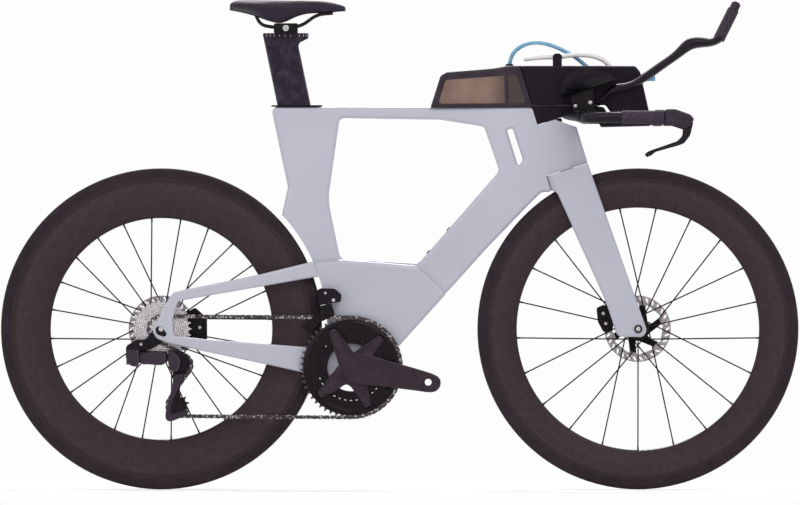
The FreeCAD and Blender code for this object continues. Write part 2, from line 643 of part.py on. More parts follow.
CROSS_ANGLE = 55
ROTOR_ARMS = 6
ROTOR_SLOTS = 30
SLOT_LEAN = 35


def rotor(name, x, place):
    """Disc rotor: a slotted steel track on a six-armed carrier."""
    outer = size("rotor_radius")
    track = outer - size("rotor_track")
    hub_ring = size("rotor_hub_ring")
    curves = circle(0, 0, outer) + circle(0, 0, size("rotor_seat_radius"))
    gap = math.radians(360 / ROTOR_ARMS)
    for arm in range(ROTOR_ARMS):
        start = arm * gap
        window = []
        for radius, share in zip((hub_ring, track, track, hub_ring), WINDOW_SHARES):
            angle = start + gap * (share + ARM_SWEEP_SHARE * (radius - hub_ring) / (track - hub_ring))
            window.append((radius * math.cos(angle), radius * math.sin(angle), size("rotor_slot_width")))
        curves += rounded(window)
    middle = outer - size("rotor_track") / 2
    half_length = size("rotor_slot_length") / 2
    half_width = size("rotor_slot_width") / 2
    for index in range(ROTOR_SLOTS):
        angle = math.radians(index * 360 / ROTOR_SLOTS)
        lean = angle + math.radians(SLOT_LEAN)
        along = Vector(math.cos(lean), math.sin(lean), 0)
        sideways = Vector(-along.y, along.x, 0)
        centre = Vector(middle * math.cos(angle), middle * math.sin(angle), 0)
        slot = []
        for length, width in ((-1, -1), (1, -1), (1, 1), (-1, 1)):
            corner = centre + along * (length * half_length) + sideways * (width * half_width)
            slot.append((corner.x, corner.y, half_width))
        curves += rounded(slot)
    disc = padded(name, "XY_Plane", curves, "sizes.rotor_thickness")
    disc.Placement = across(x, size(place), axle_height)
    return disc


ARM_SWEEP_SHARE = 0.35
WINDOW_SHARES = (0.3, 0.12, 0.88, 0.62)
for label, x, depth, place in (("front", front_x, "front_rim_depth", "front_rotor_place"),
                               ("rear", rear_x, "rear_rim_depth", "rear_rotor_place")):
    node(f"{label}_tyre", wheel_tyre(f"{label}_tyre", x))
    node(f"{label}_rim", wheel_rim(f"{label}_rim", x, depth))
    node(f"{label}_rotor", rotor(f"{label}_rotor", x, place))
FRONT_SPOKES = 21
REAR_SPOKES = 24
node("front_hub", hub("front_hub", front_x, "front_hub_width", "front_flange_right", "front_flange_left",
                      "front_rotor_place", "hub_radius"))
node("rear_hub", hub("rear_hub", rear_x, "rear_hub_width", "rear_flange_right", "rear_flange_left",
                     "rear_rotor_place", "freehub_neck_radius"))
node("front_spokes", spokes("front_spokes", front_x, FRONT_SPOKES, -90, "front_rim_depth",
                            "front_flange_right",
                            "front_flange_left", -1))
node("rear_spokes", spokes("rear_spokes", rear_x, REAR_SPOKES, 80, "rear_rim_depth", "rear_flange_left",
                           "rear_flange_right", 1))
# Axles and disc calipers.
def axle(name, x, reach_out, plate):
    """Thru axle with a plate on the drive side."""
    half = size(reach_out)
    rod = cylinder(name + "_rod", "sizes.axle_radius", f"sizes.{reach_out} * 2",
                   across(x, half, axle_height))
    return fuse(name, rod, plate)


AXLE_PLATE_PX = [(155.5, 326.5, 4), (162, 326.3, 4), (167.5, 334, 2), (165, 336.8, 2), (157, 334, 4)]
rear_plate = padded("rear_plate", "XZ_Plane", rounded(flat(AXLE_PLATE_PX)), "sizes.dropout_plate_thickness",
                    size("dropout_outer"), False)
node("rear_axle", axle("rear_axle", rear_x, "dropout_outer", rear_plate))
front_plate = cylinder("front_plate", "sizes.axle_head_radius", "sizes.axle_head_length",
                       across(front_x, -size("fork_end_half_width"), axle_height))
node("front_axle", axle("front_axle", front_x, "fork_end_half_width", front_plate))


def caliper(name, outline, inner, outer, place, x):
    """Caliper block with the rotor's slot through it."""
    body = padded(name + "_body", "XZ_Plane", rounded(flat(outline)), f"sizes.{outer} - sizes.{inner}",
                  -size(outer), False)
    gap = size("rotor_thickness") / 2 + size("rotor_side_gap")
    slot = cylinder(name + "_slot", "sizes.rotor_radius + sizes.rotor_edge_gap",
                    "sizes.rotor_thickness + 2 * sizes.rotor_side_gap",
                    across(x, size(place) + gap, axle_height))
    return cut(name, body, slot)


REAR_CALIPER_PX = [(186.5, 312, 3), (195, 307.5, 3), (206.8, 318, 4), (207, 345, 2), (190, 343, 3)]
FRONT_CALIPER_PX = [(596.5, 308, 3), (604, 304.5, 3), (613, 311, 3), (613, 329, 3), (604, 333, 3),
                    (598, 322, 3)]
node("rear_caliper", caliper("rear_caliper", REAR_CALIPER_PX, "rear_caliper_inner", "rear_caliper_outer",
                             "rear_rotor_place", rear_x))
node("front_caliper", caliper("front_caliper", FRONT_CALIPER_PX, "front_caliper_inner",
                              "front_caliper_outer",
                              "front_rotor_place", front_x))


# Toothed wheels: roller seats on the pitch circle and straight-sided teeth between them.
def pitch_radius(teeth):
    """Radius of the circle on which the chain's pins lie."""
    return size("chain_pitch") / (2 * math.sin(math.pi / teeth))


def toothed(teeth, phase):
    """Outline of a sprocket; phase is the angle of one roller seat."""
    pitch = pitch_radius(teeth)
    seat = size("roller_radius") + size("roller_clearance")
    tip = pitch + size("tooth_rise")
    tip_angle = size("tooth_tip") / 2 / tip
    curves = []
    tooth = 2 * math.pi / teeth
    corners = []
    for index in range(teeth):
        angle = phase + index * tooth
        centre = Vector(pitch * math.cos(angle), pitch * math.sin(angle), 0)
        inward = angle + math.pi
        arc = [centre + Vector(math.cos(inward + turn), math.sin(inward + turn), 0) * seat
               for turn in (SEAT_TURN, 0, -SEAT_TURN)]
        crest = angle + tooth / 2
        tips = [Vector(tip * math.cos(crest + step), tip * math.sin(crest + step),
                       0) for step in (-tip_angle, tip_angle)]
        corners.append((arc, tips))
    for index, (arc, tips) in enumerate(corners):
        following = corners[(index + 1) % teeth][0]
        curves.append(Part.Arc(*arc))
        curves.append(Part.LineSegment(arc[2], tips[0]))
        curves.append(Part.LineSegment(tips[0], tips[1]))
        curves.append(Part.LineSegment(tips[1], following[0]))
    return curves


SEAT_TURN = math.radians(58)
RING_TEETH = 52
INNER_RING_TEETH = 36
COG_TEETH = [11, 12, 13, 14, 15, 16, 17, 19, 21, 24, 27, 30]
USED_COG = 2
PULLEY_TEETH = 11
GUIDE_PX = (181.5, 364.5)
TENSION_PX = (178.5, 405.2)
cog_y = -size("first_cog") + USED_COG * size("cog_pitch")
ring_y = -size("outer_ring_place")
guide = side(GUIDE_PX)
cage_reach = (side(TENSION_PX) - guide).Length
cage_rest = math.atan2(side(TENSION_PX).z - guide.z, side(TENSION_PX).x - guide.x)
hub_centre = Vector(rear_x, 0, axle_height)


def chain_path(cage_angle):
    """Straight and wrapped stretches of the chain, for one angle of the tension pulley's cage."""
    tension = guide + Vector(math.cos(cage_angle), 0, math.sin(cage_angle)) * cage_reach
    wheels = [(bracket, RING_TEETH, 1, ring_y), (tension, PULLEY_TEETH, 1, cog_y),
              (guide, PULLEY_TEETH, -1, cog_y),
              (hub_centre, COG_TEETH[USED_COG], 1, cog_y)]
    runs = []
    for index, (centre, teeth, way, place) in enumerate(wheels):
        target, other_teeth, other_way, other_place = wheels[(index + 1) % len(wheels)]
        apart = target - centre
        span = math.hypot(apart.x, apart.z)
        lean = math.acos((way * pitch_radius(teeth) - other_way * pitch_radius(other_teeth)) / span)
        normal = math.atan2(apart.z, apart.x) + lean
        out = Vector(math.cos(normal), 0, math.sin(normal))
        start = centre + out * (way * pitch_radius(teeth)) + Vector(0, place, 0)
        finish = target + out * (other_way * pitch_radius(other_teeth)) + Vector(0, other_place, 0)
        runs.append((start, finish))
    stretches = []
    for index, (centre, teeth, way, place) in enumerate(wheels):
        arrive = runs[index - 1][1] - centre
        leave = runs[index][0] - centre
        begin = math.atan2(arrive.z, arrive.x)
        wrap = way * (begin - math.atan2(leave.z, leave.x)) % (2 * math.pi)
        stretches.append(("wrap", wrap * teeth / (2 * math.pi), centre, teeth, way, begin, place))
        start, finish = runs[index]
        stretches.append(("run", (finish - start).Length / size("chain_pitch"), start, finish))
    return tension, stretches


def chain_links(cage_angle):
    """Length of the chain in links."""
    return sum(stretch[1] for stretch in chain_path(cage_angle)[1])


# The cage's spring takes up the slack, so its angle follows from a whole, even number of links.
CAGE_SEARCH = 0.35
link_count = 2 * round(chain_links(cage_rest) / 2)
low_angle = cage_rest - CAGE_SEARCH
high_angle = cage_rest + CAGE_SEARCH
for step in range(60):
    cage_angle = (low_angle + high_angle) / 2
    if (chain_links(cage_angle) - link_count) * (chain_links(high_angle) - link_count) > 0:
        high_angle = cage_angle
    else:
        low_angle = cage_angle
tension, stretches = chain_path(cage_angle)
print("chain links", link_count, "cage angle", round(math.degrees(cage_angle - cage_rest), 2))


def run_point(start, finish, along):
    """Point on a straight run; the sideways step happens between the two leads."""
    length = (finish - start).Length
    lead = min(size("chain_lead"), length / 3)
    share = min(1, max(0, (along - lead) / (length - 2 * lead)))
    spot = start + (finish - start) * (along / length)
    spot.y = start.y + (finish.y - start.y) * share
    return spot


pins = []
phases = {}
passed = 0
for stretch in stretches:
    for number in range(math.ceil(passed - TINY), math.ceil(passed + stretch[1] - TINY)):
        along = number - passed
        if stretch[0] == "wrap":
            kind, count, centre, teeth, way, begin, place = stretch
            angle = begin - way * along * 2 * math.pi / teeth
            key = (teeth, round(centre.x))
            phases.setdefault(key, angle)
            radius = pitch_radius(teeth)
            pins.append(centre + Vector(radius * math.cos(angle), place, radius * math.sin(angle)))
        else:
            pins.append(run_point(stretch[2], stretch[3], along * size("chain_pitch")))
    passed += stretch[1]


def seat_phase(teeth, centre):
    """Angle of a roller seat that the chain's pins already fill."""
    return phases[(teeth, round(centre.x))]


# Chain: inner links carry the rollers and outer links the pins.
def link_plate(name, offset):
    """One waisted side plate, drawn between two pins on the X axis."""
    half = size("chain_pitch") / 2
    radius = size("plate_radius")
    waist = radius * WAIST_SHARE
    outline = rounded([(-half - radius, -radius, radius), (-half + radius, -radius, radius),
                       (0, -waist, radius),
                       (half - radius, -radius, radius), (half + radius, -radius, radius),
                       (half + radius, radius, radius),
                       (half - radius, radius, radius), (0, waist, radius),
                       (-half + radius, radius, radius),
                       (-half - radius, radius, radius)])
    return padded(name, "XZ_Plane", outline, "sizes.plate_thickness", offset)


WAIST_SHARE = 0.68


def link_bar(name, x, radius, half_width):
    """Roller or pin across the link; sizes are expressions."""
    bar = cylinder(name, radius, f"2 * ({half_width})", across(x, 0, 0))
    bar.setExpression("Placement.Base.y", half_width)
    return bar


half_pitch = size("chain_pitch") / 2
inner_offset = (size("plate_gap") + size("plate_thickness")) / 2
outer_offset = inner_offset + size("plate_thickness") + size("plate_clearance")
inner_half = "(sizes.plate_gap / 2 + sizes.plate_thickness)"
outer_half = "(sizes.plate_gap / 2 + 2 * sizes.plate_thickness + sizes.plate_clearance)"
inner_solid = fuse("inner_solid", link_plate("inner_near", -inner_offset),
                   link_plate("inner_far", inner_offset),
                   link_bar("roller_back", -half_pitch, "sizes.roller_radius", inner_half),
                   link_bar("roller_front", half_pitch, "sizes.roller_radius", inner_half))
inner_link = cut("inner_link", inner_solid,
                 link_bar("bush_back", -half_pitch, "sizes.pin_radius + sizes.pin_clearance", outer_half),
                 link_bar("bush_front", half_pitch, "sizes.pin_radius + sizes.pin_clearance", outer_half))
outer_link = fuse("outer_link", link_plate("outer_near", -outer_offset),
                  link_plate("outer_far", outer_offset),
                  link_bar("pin_back", -half_pitch, "sizes.pin_radius", outer_half),
                  link_bar("pin_front", half_pitch, "sizes.pin_radius", outer_half))
doc.recompute()
links = []
for index, pin in enumerate(pins):
    following = pins[(index + 1) % len(pins)]
    along = following - pin
    turn = Rotation(along, Vector(0, 1, 0), Vector(), "XYZ")
    source = inner_link if index % 2 == 0 else outer_link
    link = source.Shape.copy()
    link.Placement = Placement((pin + following) / 2, turn)
    links.append(link)
chain = doc.addObject("Part::Feature", "chain")
chain.Shape = Part.makeCompound(links)
node("chain", chain)


# Cassette: twelve sprockets on one carrier, which runs free on the hub's neck.
def sprocket(name, teeth, phase, hole, centre, y):
    """One toothed plate with a round hole."""
    plate = padded(name, "XY_Plane", toothed(teeth, phase) + circle(0, 0, hole), "sizes.sprocket_thickness")
    plate.Placement = across(centre.x, y, centre.z)
    return plate


cassette_parts = []
for index, teeth in enumerate(COG_TEETH):
    y = -size("first_cog") + index * size("cog_pitch")
    phase = seat_phase(teeth, hub_centre) if index == USED_COG else math.pi / 2
    cassette_parts.append(sprocket(f"cog_{teeth}", teeth, phase, size("carrier_radius"), hub_centre, y))
carrier = ring("carrier", "sizes.carrier_radius", "sizes.freehub_neck_radius + sizes.axle_clearance",
               "sizes.carrier_end - sizes.carrier_start",
               across(rear_x, -size("carrier_start"), axle_height))
node("cassette", group("cassette", carrier, *cassette_parts))

# Chainrings: a large ring outside, a small one inside and the bolts that hold it to the spider.
ring_phase = seat_phase(RING_TEETH, bracket)
spider_inner = size("outer_ring_place") + size("ring_thickness") / 2
spider_depth = "sizes.crank_arm_inner - sizes.outer_ring_place - sizes.ring_thickness / 2 + sizes.crank_round"
outer_teeth = sprocket("outer_teeth", RING_TEETH, ring_phase, size("outer_ring_inner"), bracket, ring_y)
outer_body = ring("outer_body", "sizes.outer_ring_body", "sizes.outer_ring_inner", "sizes.ring_thickness",
                  across(bracket.x, size("ring_thickness") / 2 + ring_y, bracket.z))
inner_y = -size("inner_ring_place")
inner_teeth = sprocket("inner_teeth", INNER_RING_TEETH, ring_phase, size("inner_ring_inner"), bracket,
                       inner_y)
inner_body = ring("inner_body", "sizes.inner_ring_body", "sizes.inner_ring_inner", "sizes.ring_thickness",
                  across(bracket.x, size("ring_thickness") / 2 + inner_y, bracket.z))
SPIDER_ANGLES = (55, 128, -55, -128)
crank_turn = Rotation(Vector(0, 1, 0), size("crank_angle"))


def crank_place(forward, y, up):
    """Placement in the right crank arm's frame: local X runs along the arm."""
    return Placement(bracket + crank_turn.multVec(Vector(forward, y, up)), crank_turn)


bolts = []
bolt_length = "sizes.outer_ring_place - sizes.inner_ring_place"
for index, degrees in enumerate(SPIDER_ANGLES):
    angle = math.radians(degrees)
    spot = bracket + crank_turn.multVec(Vector(math.cos(angle), 0,
                                               math.sin(angle)) * size("ring_bolt_circle"))
    bolts.append(cylinder(f"ring_bolt{index}", "sizes.ring_bolt_radius", bolt_length,
                          across(spot.x, inner_y - size("ring_thickness") / 2, spot.z)))
node("chainrings", group("chainrings", fuse("outer_ring", outer_teeth, outer_body),
                         fuse("inner_ring", inner_teeth, inner_body), *bolts))


# Cranks: the right one carries the spider and the spindle.
def crank_arm(name, offset, place):
    """Tapered arm from the spindle to the pedal eye, rounded on its outer face."""
    root = size("crank_hub_radius")
    end = size("crank_end_radius")
    length = size("crank_length")
    outline = rounded([(-root, -root, root), (length + end, -end, end), (length + end, end, end),
                       (-root, root, root)])
    arm = padded(name, "XZ_Plane", outline, "sizes.crank_arm_thickness", offset, False)
    arm.Placement = place
    outer_y = size("crank_arm_inner") + size("crank_arm_thickness") - TINY
    return softened(name, arm, size("crank_round"),
                    lambda edge: abs(edge.BoundBox.YMin + edge.BoundBox.YMax) / 2 > outer_y)


def pedal_hole(name, arm_place):
    """Pedal's thread hole, through an arm's end."""
    hole = cylinder(name, "sizes.pedal_bore", "sizes.cut_reach", Placement())
    hole.Placement = arm_place.multiply(across(size("crank_length"), size("cut_reach") / 2, 0))
    return hole


arm_inner = size("crank_arm_inner")
arm_outer = arm_inner + size("crank_arm_thickness")
right_place = Placement(bracket, crank_turn)
left_place = Placement(bracket, crank_turn.multiply(Rotation(Vector(0, 1, 0), 180)))
right_arm = crank_arm("right_arm", arm_inner, right_place)
spider_arms = []
for index, degrees in enumerate(SPIDER_ANGLES):
    root = size("spider_root")
    tip = size("spider_tip")
    reach_out = size("spider_reach")
    outline = rounded([(0, -root, 0), (reach_out, -tip, tip / 2), (reach_out, tip, tip / 2), (0, root, 0)])
    spider = padded(f"spider{index}", "XZ_Plane", outline,
                    spider_depth, spider_inner, False)
    spider.Placement = Placement(bracket, crank_turn.multiply(Rotation(Vector(0, 1, 0), -degrees)))
    spider_arms.append(spider)
spindle = cylinder("spindle", "sizes.spindle_radius", "2 * sizes.crank_arm_inner",
                   across(bracket.x, arm_inner, bracket.z))
right_hub = cylinder("right_hub", "sizes.crank_hub_radius - sizes.hub_step",
                     "sizes.crank_arm_inner - sizes.crank_hub_inner + sizes.crank_round",
                     across(bracket.x, -size("crank_hub_inner"), bracket.z))
right_recess = cylinder("right_recess", "sizes.spindle_recess", "sizes.cut_reach",
                        across(bracket.x, size("spindle_recess_depth") - arm_outer, bracket.z))
right_crank = cut("right_crank", fuse("right_whole", right_arm, right_hub, spindle, *spider_arms),
                  right_recess,
                  pedal_hole("right_pedal_hole", right_place))
left_arm = crank_arm("left_arm", -arm_outer, left_place)
left_hub = cylinder("left_hub", "sizes.crank_hub_radius - sizes.hub_step",
                    "sizes.crank_arm_inner - sizes.crank_hub_inner + sizes.crank_round",
                    across(bracket.x, arm_inner + size("crank_round"), bracket.z))
left_crank = cut("left_crank", fuse("left_whole", left_arm, left_hub), spindle,
                 pedal_hole("left_pedal_hole", left_place))
node("crank_arms", group("crank_arms", right_crank, left_crank))

# Front derailleur: a body on the frame's flank and a cage round the chain that slides inwards.
FRONT_BODY_PX = [(316.5, 290.4, 3), (321, 288.2, 3), (335, 288.6, 5), (341.4, 294.5, 3), (341, 301.6, 2),
                 (331.8, 303.1, 0), (319, 305.6, 2)]
FRONT_BRIDGE_PX = [(319.4, 305.9, 1), (331.6, 303.4, 1), (333, 309, 2), (320.5, 312.3, 2)]
FRONT_CAGE_ANGLES = (141, 124, 107)
box_flank = size("box_half_width")
front_body = padded("front_body", "XZ_Plane", rounded(flat(FRONT_BODY_PX)),
                    "sizes.front_body_outer - sizes.box_half_width", box_flank, False)
node("front_derailleur", front_body)
cage_outline = []
for radius, angles in ((size("front_cage_low"), FRONT_CAGE_ANGLES),
                       (size("front_cage_high"), FRONT_CAGE_ANGLES[::-1])):
    for degrees in angles:
        angle = math.radians(degrees)
        cage_outline.append((bracket.x + radius * math.cos(angle), bracket.z + radius * math.sin(angle),
                             size("tooth_rise")))
cage_plates = []
for label, place in (("front_outer", "front_shift_outer"), ("front_inner", "front_shift_inner")):
    inset = size("front_shift_plate") if label == "front_outer" else 0
    cage_plates.append(padded(label, "XZ_Plane", rounded(cage_outline), "sizes.front_shift_plate",
                              size(place) - inset, False))
front_bridge = padded("front_bridge", "XZ_Plane", rounded(flat(FRONT_BRIDGE_PX)),
                      "sizes.front_shift_outer - sizes.front_shift_inner", size("front_shift_inner"), False)
node("front_derailleur_cage", fuse("front_derailleur_cage", front_bridge, *cage_plates))

# Rear derailleur: body on the hanger, one link, a knuckle kept square by it, the cage and its two pulleys.
PIVOT_BACK_PX = (134.5, 357)
slant = Rotation(Vector(1, 0, 0), -size("derailleur_slant"))
pivot_back = side(PIVOT_BACK_PX, -size("pivot_place"))
pivot_front = pivot_back + Vector(size("link_length"), 0, 0)


def slanted(pivot, x, y, z):
    """Placement in a derailleur pivot's frame: local Z runs along the slanted pin."""
    return Placement(pivot + slant.multVec(Vector(x, y, z)), slant)


barrel_half = size("barrel_half")
link_bar_solid = block("link_bar", "sizes.link_length", "2 * sizes.link_half_width",
                       "2 * sizes.link_half_height",
                       slanted(pivot_back, 0, -size("link_half_width"), -size("link_half_height")))
barrels = [cylinder(f"barrel{index}", "sizes.barrel_radius", "2 * sizes.barrel_half",
                    slanted(pivot, 0, 0, -barrel_half))
           for index, pivot in enumerate((pivot_back, pivot_front))]
pivot_bores = [cylinder(f"pivot_bore{index}", "sizes.pivot_pin + sizes.pivot_clearance",
                        "4 * sizes.barrel_half",
                        slanted(pivot, 0, 0, -2 * barrel_half))
               for index, pivot in enumerate((pivot_back, pivot_front))]
cover_half = size("link_cover_half_height")
link_cover = block("link_cover", "sizes.link_length - 2 * sizes.link_cover_margin",
                   "2 * sizes.link_cover_half_width",
                   "2 * sizes.link_cover_half_height",
                   slanted(pivot_back, size("link_cover_margin"), -size("link_cover_half_width"),
                           -cover_half))
link_soft = softened("link_soft", link_cover, size("link_round"), lambda edge: True)
node("derailleur_link", cut("derailleur_link", fuse("derailleur_link", link_bar_solid, link_soft, *barrels),
                            *pivot_bores))


def fork_lugs(name, pivot, way):
    """Two lugs, their pin and the web behind them; way is the side of the web along X."""
    inner = barrel_half + size("lug_gap")
    radius = size("lug_radius")
    thick = size("lug_thickness")
    web_start = size("barrel_radius") + size("lug_gap") * 2
    web_end = web_start + size("lug_web")
    parts = [cylinder(name + "_pin", "sizes.pivot_pin",
                      "2 * (sizes.barrel_half + sizes.lug_gap + sizes.lug_thickness)",
                      slanted(pivot, 0, 0, -inner - thick))]
    for label, up in (("top", inner), ("low", -inner - thick)):
        parts.append(cylinder(f"{name}_{label}", "sizes.lug_radius", "sizes.lug_thickness",
                              slanted(pivot, 0, 0, up)))
        strap = block(f"{name}_{label}_strap", "sizes.lug_web", "2 * sizes.lug_radius",
                      "sizes.lug_thickness",
                      slanted(pivot, 0 if way > 0 else -web_end, -radius, up))
        strap.setExpression("Length", "sizes.barrel_radius + 2 * sizes.lug_gap + sizes.lug_web")
        parts.append(strap)
    parts.append(block(name + "_web", "sizes.lug_web", "2 * sizes.lug_radius",
                       "2 * (sizes.barrel_half + sizes.lug_gap + sizes.lug_thickness)",
                       slanted(pivot, web_start if way > 0 else -web_end, -radius, -inner - thick)))
    return parts


BODY_PX = [(126.6, 353, 0), (126.6, 346, 4), (136.5, 339.3, 5), (148.3, 339.3, 5), (148.3, 349, 4),
           (131, 350, 0),
           (131, 353, 0)]
body_plate = padded("body_plate", "XZ_Plane", rounded(flat(BODY_PX)),
                    "sizes.derailleur_body_outer - sizes.derailleur_body_inner",
                    size("derailleur_body_inner"), False)
node("derailleur_body", fuse("derailleur_body", body_plate, *fork_lugs("body", pivot_back, -1)))
KNUCKLE_PX = [(175.8, 349, 2), (184, 351.5, 5), (188, 362, 6), (183, 371.5, 6), (175.8, 369.5, 3)]
knuckle_plate = padded("knuckle_plate", "XZ_Plane", rounded(flat(KNUCKLE_PX)),
                       "sizes.knuckle_outer - sizes.knuckle_inner", size("knuckle_inner"), False)
node("derailleur_knuckle", fuse("derailleur_knuckle", knuckle_plate, *fork_lugs("knuckle", pivot_front, 1)))
CAGE_PX = [(172.5, 356, 8), (186, 352, 8), (190, 364, 8), (181, 384, 14), (180, 396, 14), (188.5, 412.5, 4),
           (171.5, 420, 4), (166.5, 414, 5), (173.5, 384, 20)]
swing = math.degrees(cage_rest - cage_angle)
cage_turn = Placement(guide, Rotation(Vector(0, 1, 0), swing))
cage_swung = cage_turn.multiply(Placement(guide, Rotation()).inverse())
cage_parts = []
cage_start = -cog_y - size("cage_gap") / 2 - size("cage_plate")
for label, place in (("cage_near", size("cage_gap") / 2 - cog_y), ("cage_far", cage_start)):
    plate = padded(label, "XZ_Plane", rounded(flat(CAGE_PX)), "sizes.cage_plate", place, False)
    plate.Placement = cage_swung
    cage_parts.append(plate)
for label, centre in (("guide_pin", guide), ("tension_pin", tension)):
    cage_parts.append(cylinder(label, "sizes.cage_pin", "sizes.cage_gap + 2 * sizes.cage_plate",
                               across(centre.x, -cage_start, centre.z)))
node("derailleur_cage", fuse("derailleur_cage", *cage_parts))


def pulley(name, centre):
    """Jockey wheel with a wide hub that runs on its pin."""
    teeth = sprocket(name + "_teeth", PULLEY_TEETH, seat_phase(PULLEY_TEETH, centre),
                     size("cage_pin") + size("pivot_clearance"), centre, cog_y)
    boss = ring(name + "_boss", "sizes.pulley_hub_radius", "sizes.cage_pin + sizes.pivot_clearance",
                "sizes.pulley_hub_width", across(centre.x, cog_y + size("pulley_hub_width") / 2, centre.z))
    return fuse(name, teeth, boss)


node("guide_pulley", pulley("guide_pulley", guide))
node("tension_pulley", pulley("tension_pulley", tension))
# Swept tubes and lofted soft shapes.
def tube_path(points):
    """Straight runs joined by tangent arcs, each as wide as its shorter run allows."""
    edges = []
    last = points[0]
    for index in range(1, len(points) - 1):
        corner = points[index]
        before = points[index - 1] - corner
        after = points[index + 1] - corner
        reach_back = BEND_SHARE * min(before.Length, after.Length)
        half_angle = before.getAngle(after) / 2
        start = corner + before.normalize() * reach_back
        finish = corner + after.normalize() * reach_back
        radius = reach_back * math.tan(half_angle)
        bisector = (before + after).normalize()
        middle = corner + bisector * (radius / math.sin(half_angle) - radius)
        edges.append(Part.makeLine(last, start))
        edges.append(Part.Arc(start, middle, finish).toShape())
        last = finish
    edges.append(Part.makeLine(last, points[-1]))
    return Part.Wire(edges)


BEND_SHARE = 0.45


def tube(name, points, radius):
    """Round bar swept along a path; radius is an expression."""
    path = doc.addObject("Part::Feature", name + "_path")
    path.Shape = tube_path([Vector(point) for point in points])
    section = doc.addObject("Part::Circle", name + "_section")
    section.setExpression("Radius", radius)
    section.Placement = facing(points[0], points[1])
    sweep = doc.addObject("Part::Sweep", name + "_sweep")
    sweep.Sections = [section]
    sweep.Spine = (path, [f"Edge{index}" for index in range(1, len(path.Shape.Edges) + 1)])
    sweep.Solid = True
    return sweep


def facing(start, target):
    """Placement at start whose own Z looks at target."""
    return Placement(start, Rotation(Vector(0, 0, 1), target - start))


def lofted(name, stations):
    """Body lofted through closed sections across the bike; stations are (x, curves)."""
    body = doc.addObject("PartDesign::Body", name)
    sketches = [draw(body, "YZ_Plane", curves, x) for x, curves in stations]
    loft = body.newObject("PartDesign::AdditiveLoft", name + "_loft")
    loft.Profile = sketches[0]
    loft.Sections = sketches[1:]
    return body


def height(py):
    """Height of a pixel row."""
    return side((MIDDLE_PX, py)).z


# Seatpost with its flat head.
POST_HEAD_PX = [(262.3, 33.2, 1.5), (308.7, 33.2, 1.5), (308.3, 38.4, 1.5), (300, 42.5, 4), (296.5, 50, 2),
                (268, 50, 2)]
POST_CUT_PX = (240, 36)
post_column = padded("post_column", "XY_Plane", stadium(size("post_chord"), size("post_width")),
                     "sizes.post_insertion + sizes.post_rise", -size("post_insertion"), False)
post_column.Placement = post_place(0, 0, 0)
post_above = block("post_above", "sizes.cut_reach", "sizes.cut_reach", "sizes.cut_reach",
                   Placement(side(POST_CUT_PX, -reach / 2), Rotation()))
post_head = padded("post_head", "XZ_Plane", rounded(flat(POST_HEAD_PX)), "sizes.post_width")
node("seatpost", fuse("seatpost", cut("post_trimmed", post_column, post_above), post_head))

# Saddle: rails, the clamp that grips them, a firm base and a soft pad with a channel.
RAIL_PX = [(254.5, 12.5), (260.5, 25), (273, 27.3), (300, 27.3), (317, 14.6), (333, 13.2)]
rail_places = [size("rail_back_place"), size("rail_back_place"), size("rail_place"), size("rail_place"),
               size("rail_front_place"), size("rail_front_place")]
rail_points = [side(pixel, -place) for pixel, place in zip(RAIL_PX, rail_places)]
right_rail = tube("right_rail", rail_points, "sizes.rail_radius")
rails = group("saddle_rails", right_rail, mirrored("left_rail", right_rail))
node("saddle_rails", rails)
CLAMP_PX = [(273.9, 23.4, 1.5), (297.9, 23.4, 1.5), (297.9, 33.2, 1), (273.9, 33.2, 1)]
clamp_block = padded("clamp_block", "XZ_Plane", rounded(flat(CLAMP_PX)), "sizes.clamp_width")
node("saddle_clamp", cut("saddle_clamp", clamp_block, right_rail, mirrored("clamp_rail", right_rail)))
# Per station: pixel column, rows of the top, the edge and the underside, half width.
SADDLE_PX = [
    (229.5, 3, 6, 9, 42), (240, 1.2, 5.6, 11, 66), (252, 1, 6, 14, 71.5), (268, 1, 7, 19.5, 60),
    (282, 1.1, 7.6, 21.5, 42), (298, 1.2, 7.6, 15, 30), (318, 1.4, 6.8, 12, 26), (336, 3.2, 7, 10.8, 23),
    (346, 6.2, 8, 10.2, 13),
]
CREST_SHARE = 0.42
SHOULDER_SHARE = 0.8
SKIRT_SHARE = 0.62
BASE_SHARE = 0.5
PAD_CORNERS = (9, 9, 12, 5, 2.5)
CHANNEL_STATIONS = (0.4, 0.8, 1, 1, 1, 1, 1, 0.6, 0.1)


def even_section(half):
    """Section outline from its right half of (y, z, corner) points, mid-plane to mid-plane."""
    far = [(-y, z, radius) for y, z, radius in reversed(half[1:-1])]
    return rounded(half + far)


pad_stations = []
base_stations = []
for (px, top, edge, under, half), depth_share in zip(SADDLE_PX, CHANNEL_STATIONS):
    x = side((px, MIDDLE_PX)).x
    crown = height(top)
    rim = height(edge)
    low = height(under)
    shoulder = crown - (crown - rim) / 4
    sunk = crown - size("channel_depth") * depth_share
    share = half / size("clamp_width")
    pad_stations.append((x, even_section([
        (0, sunk, PAD_CORNERS[0] * share), (half * CREST_SHARE, crown, PAD_CORNERS[1] * share),
        (half * SHOULDER_SHARE, shoulder, PAD_CORNERS[2] * share), (half, rim, PAD_CORNERS[3] * share),
        (half * SKIRT_SHARE, low, PAD_CORNERS[4] * share), (0, low, 0)])))
    base_top = low - size("base_gap")
    base_low = base_top - size("base_thickness")
    base_stations.append((x, even_section([
        (0, base_top, 0), (half * BASE_SHARE, base_top, 0), (half * BASE_SHARE, base_low, 0),
        (0, base_low, 0)])))
rail_space = tube("rail_space", rail_points, "sizes.rail_radius + sizes.base_gap")
node("saddle_pad", cut("saddle_pad", lofted("pad_loft", pad_stations), rail_space,
                       mirrored("pad_rail", rail_space)))
node("saddle_base", cut("saddle_base", lofted("base_loft", base_stations), right_rail,
                        mirrored("base_rail", right_rail)))
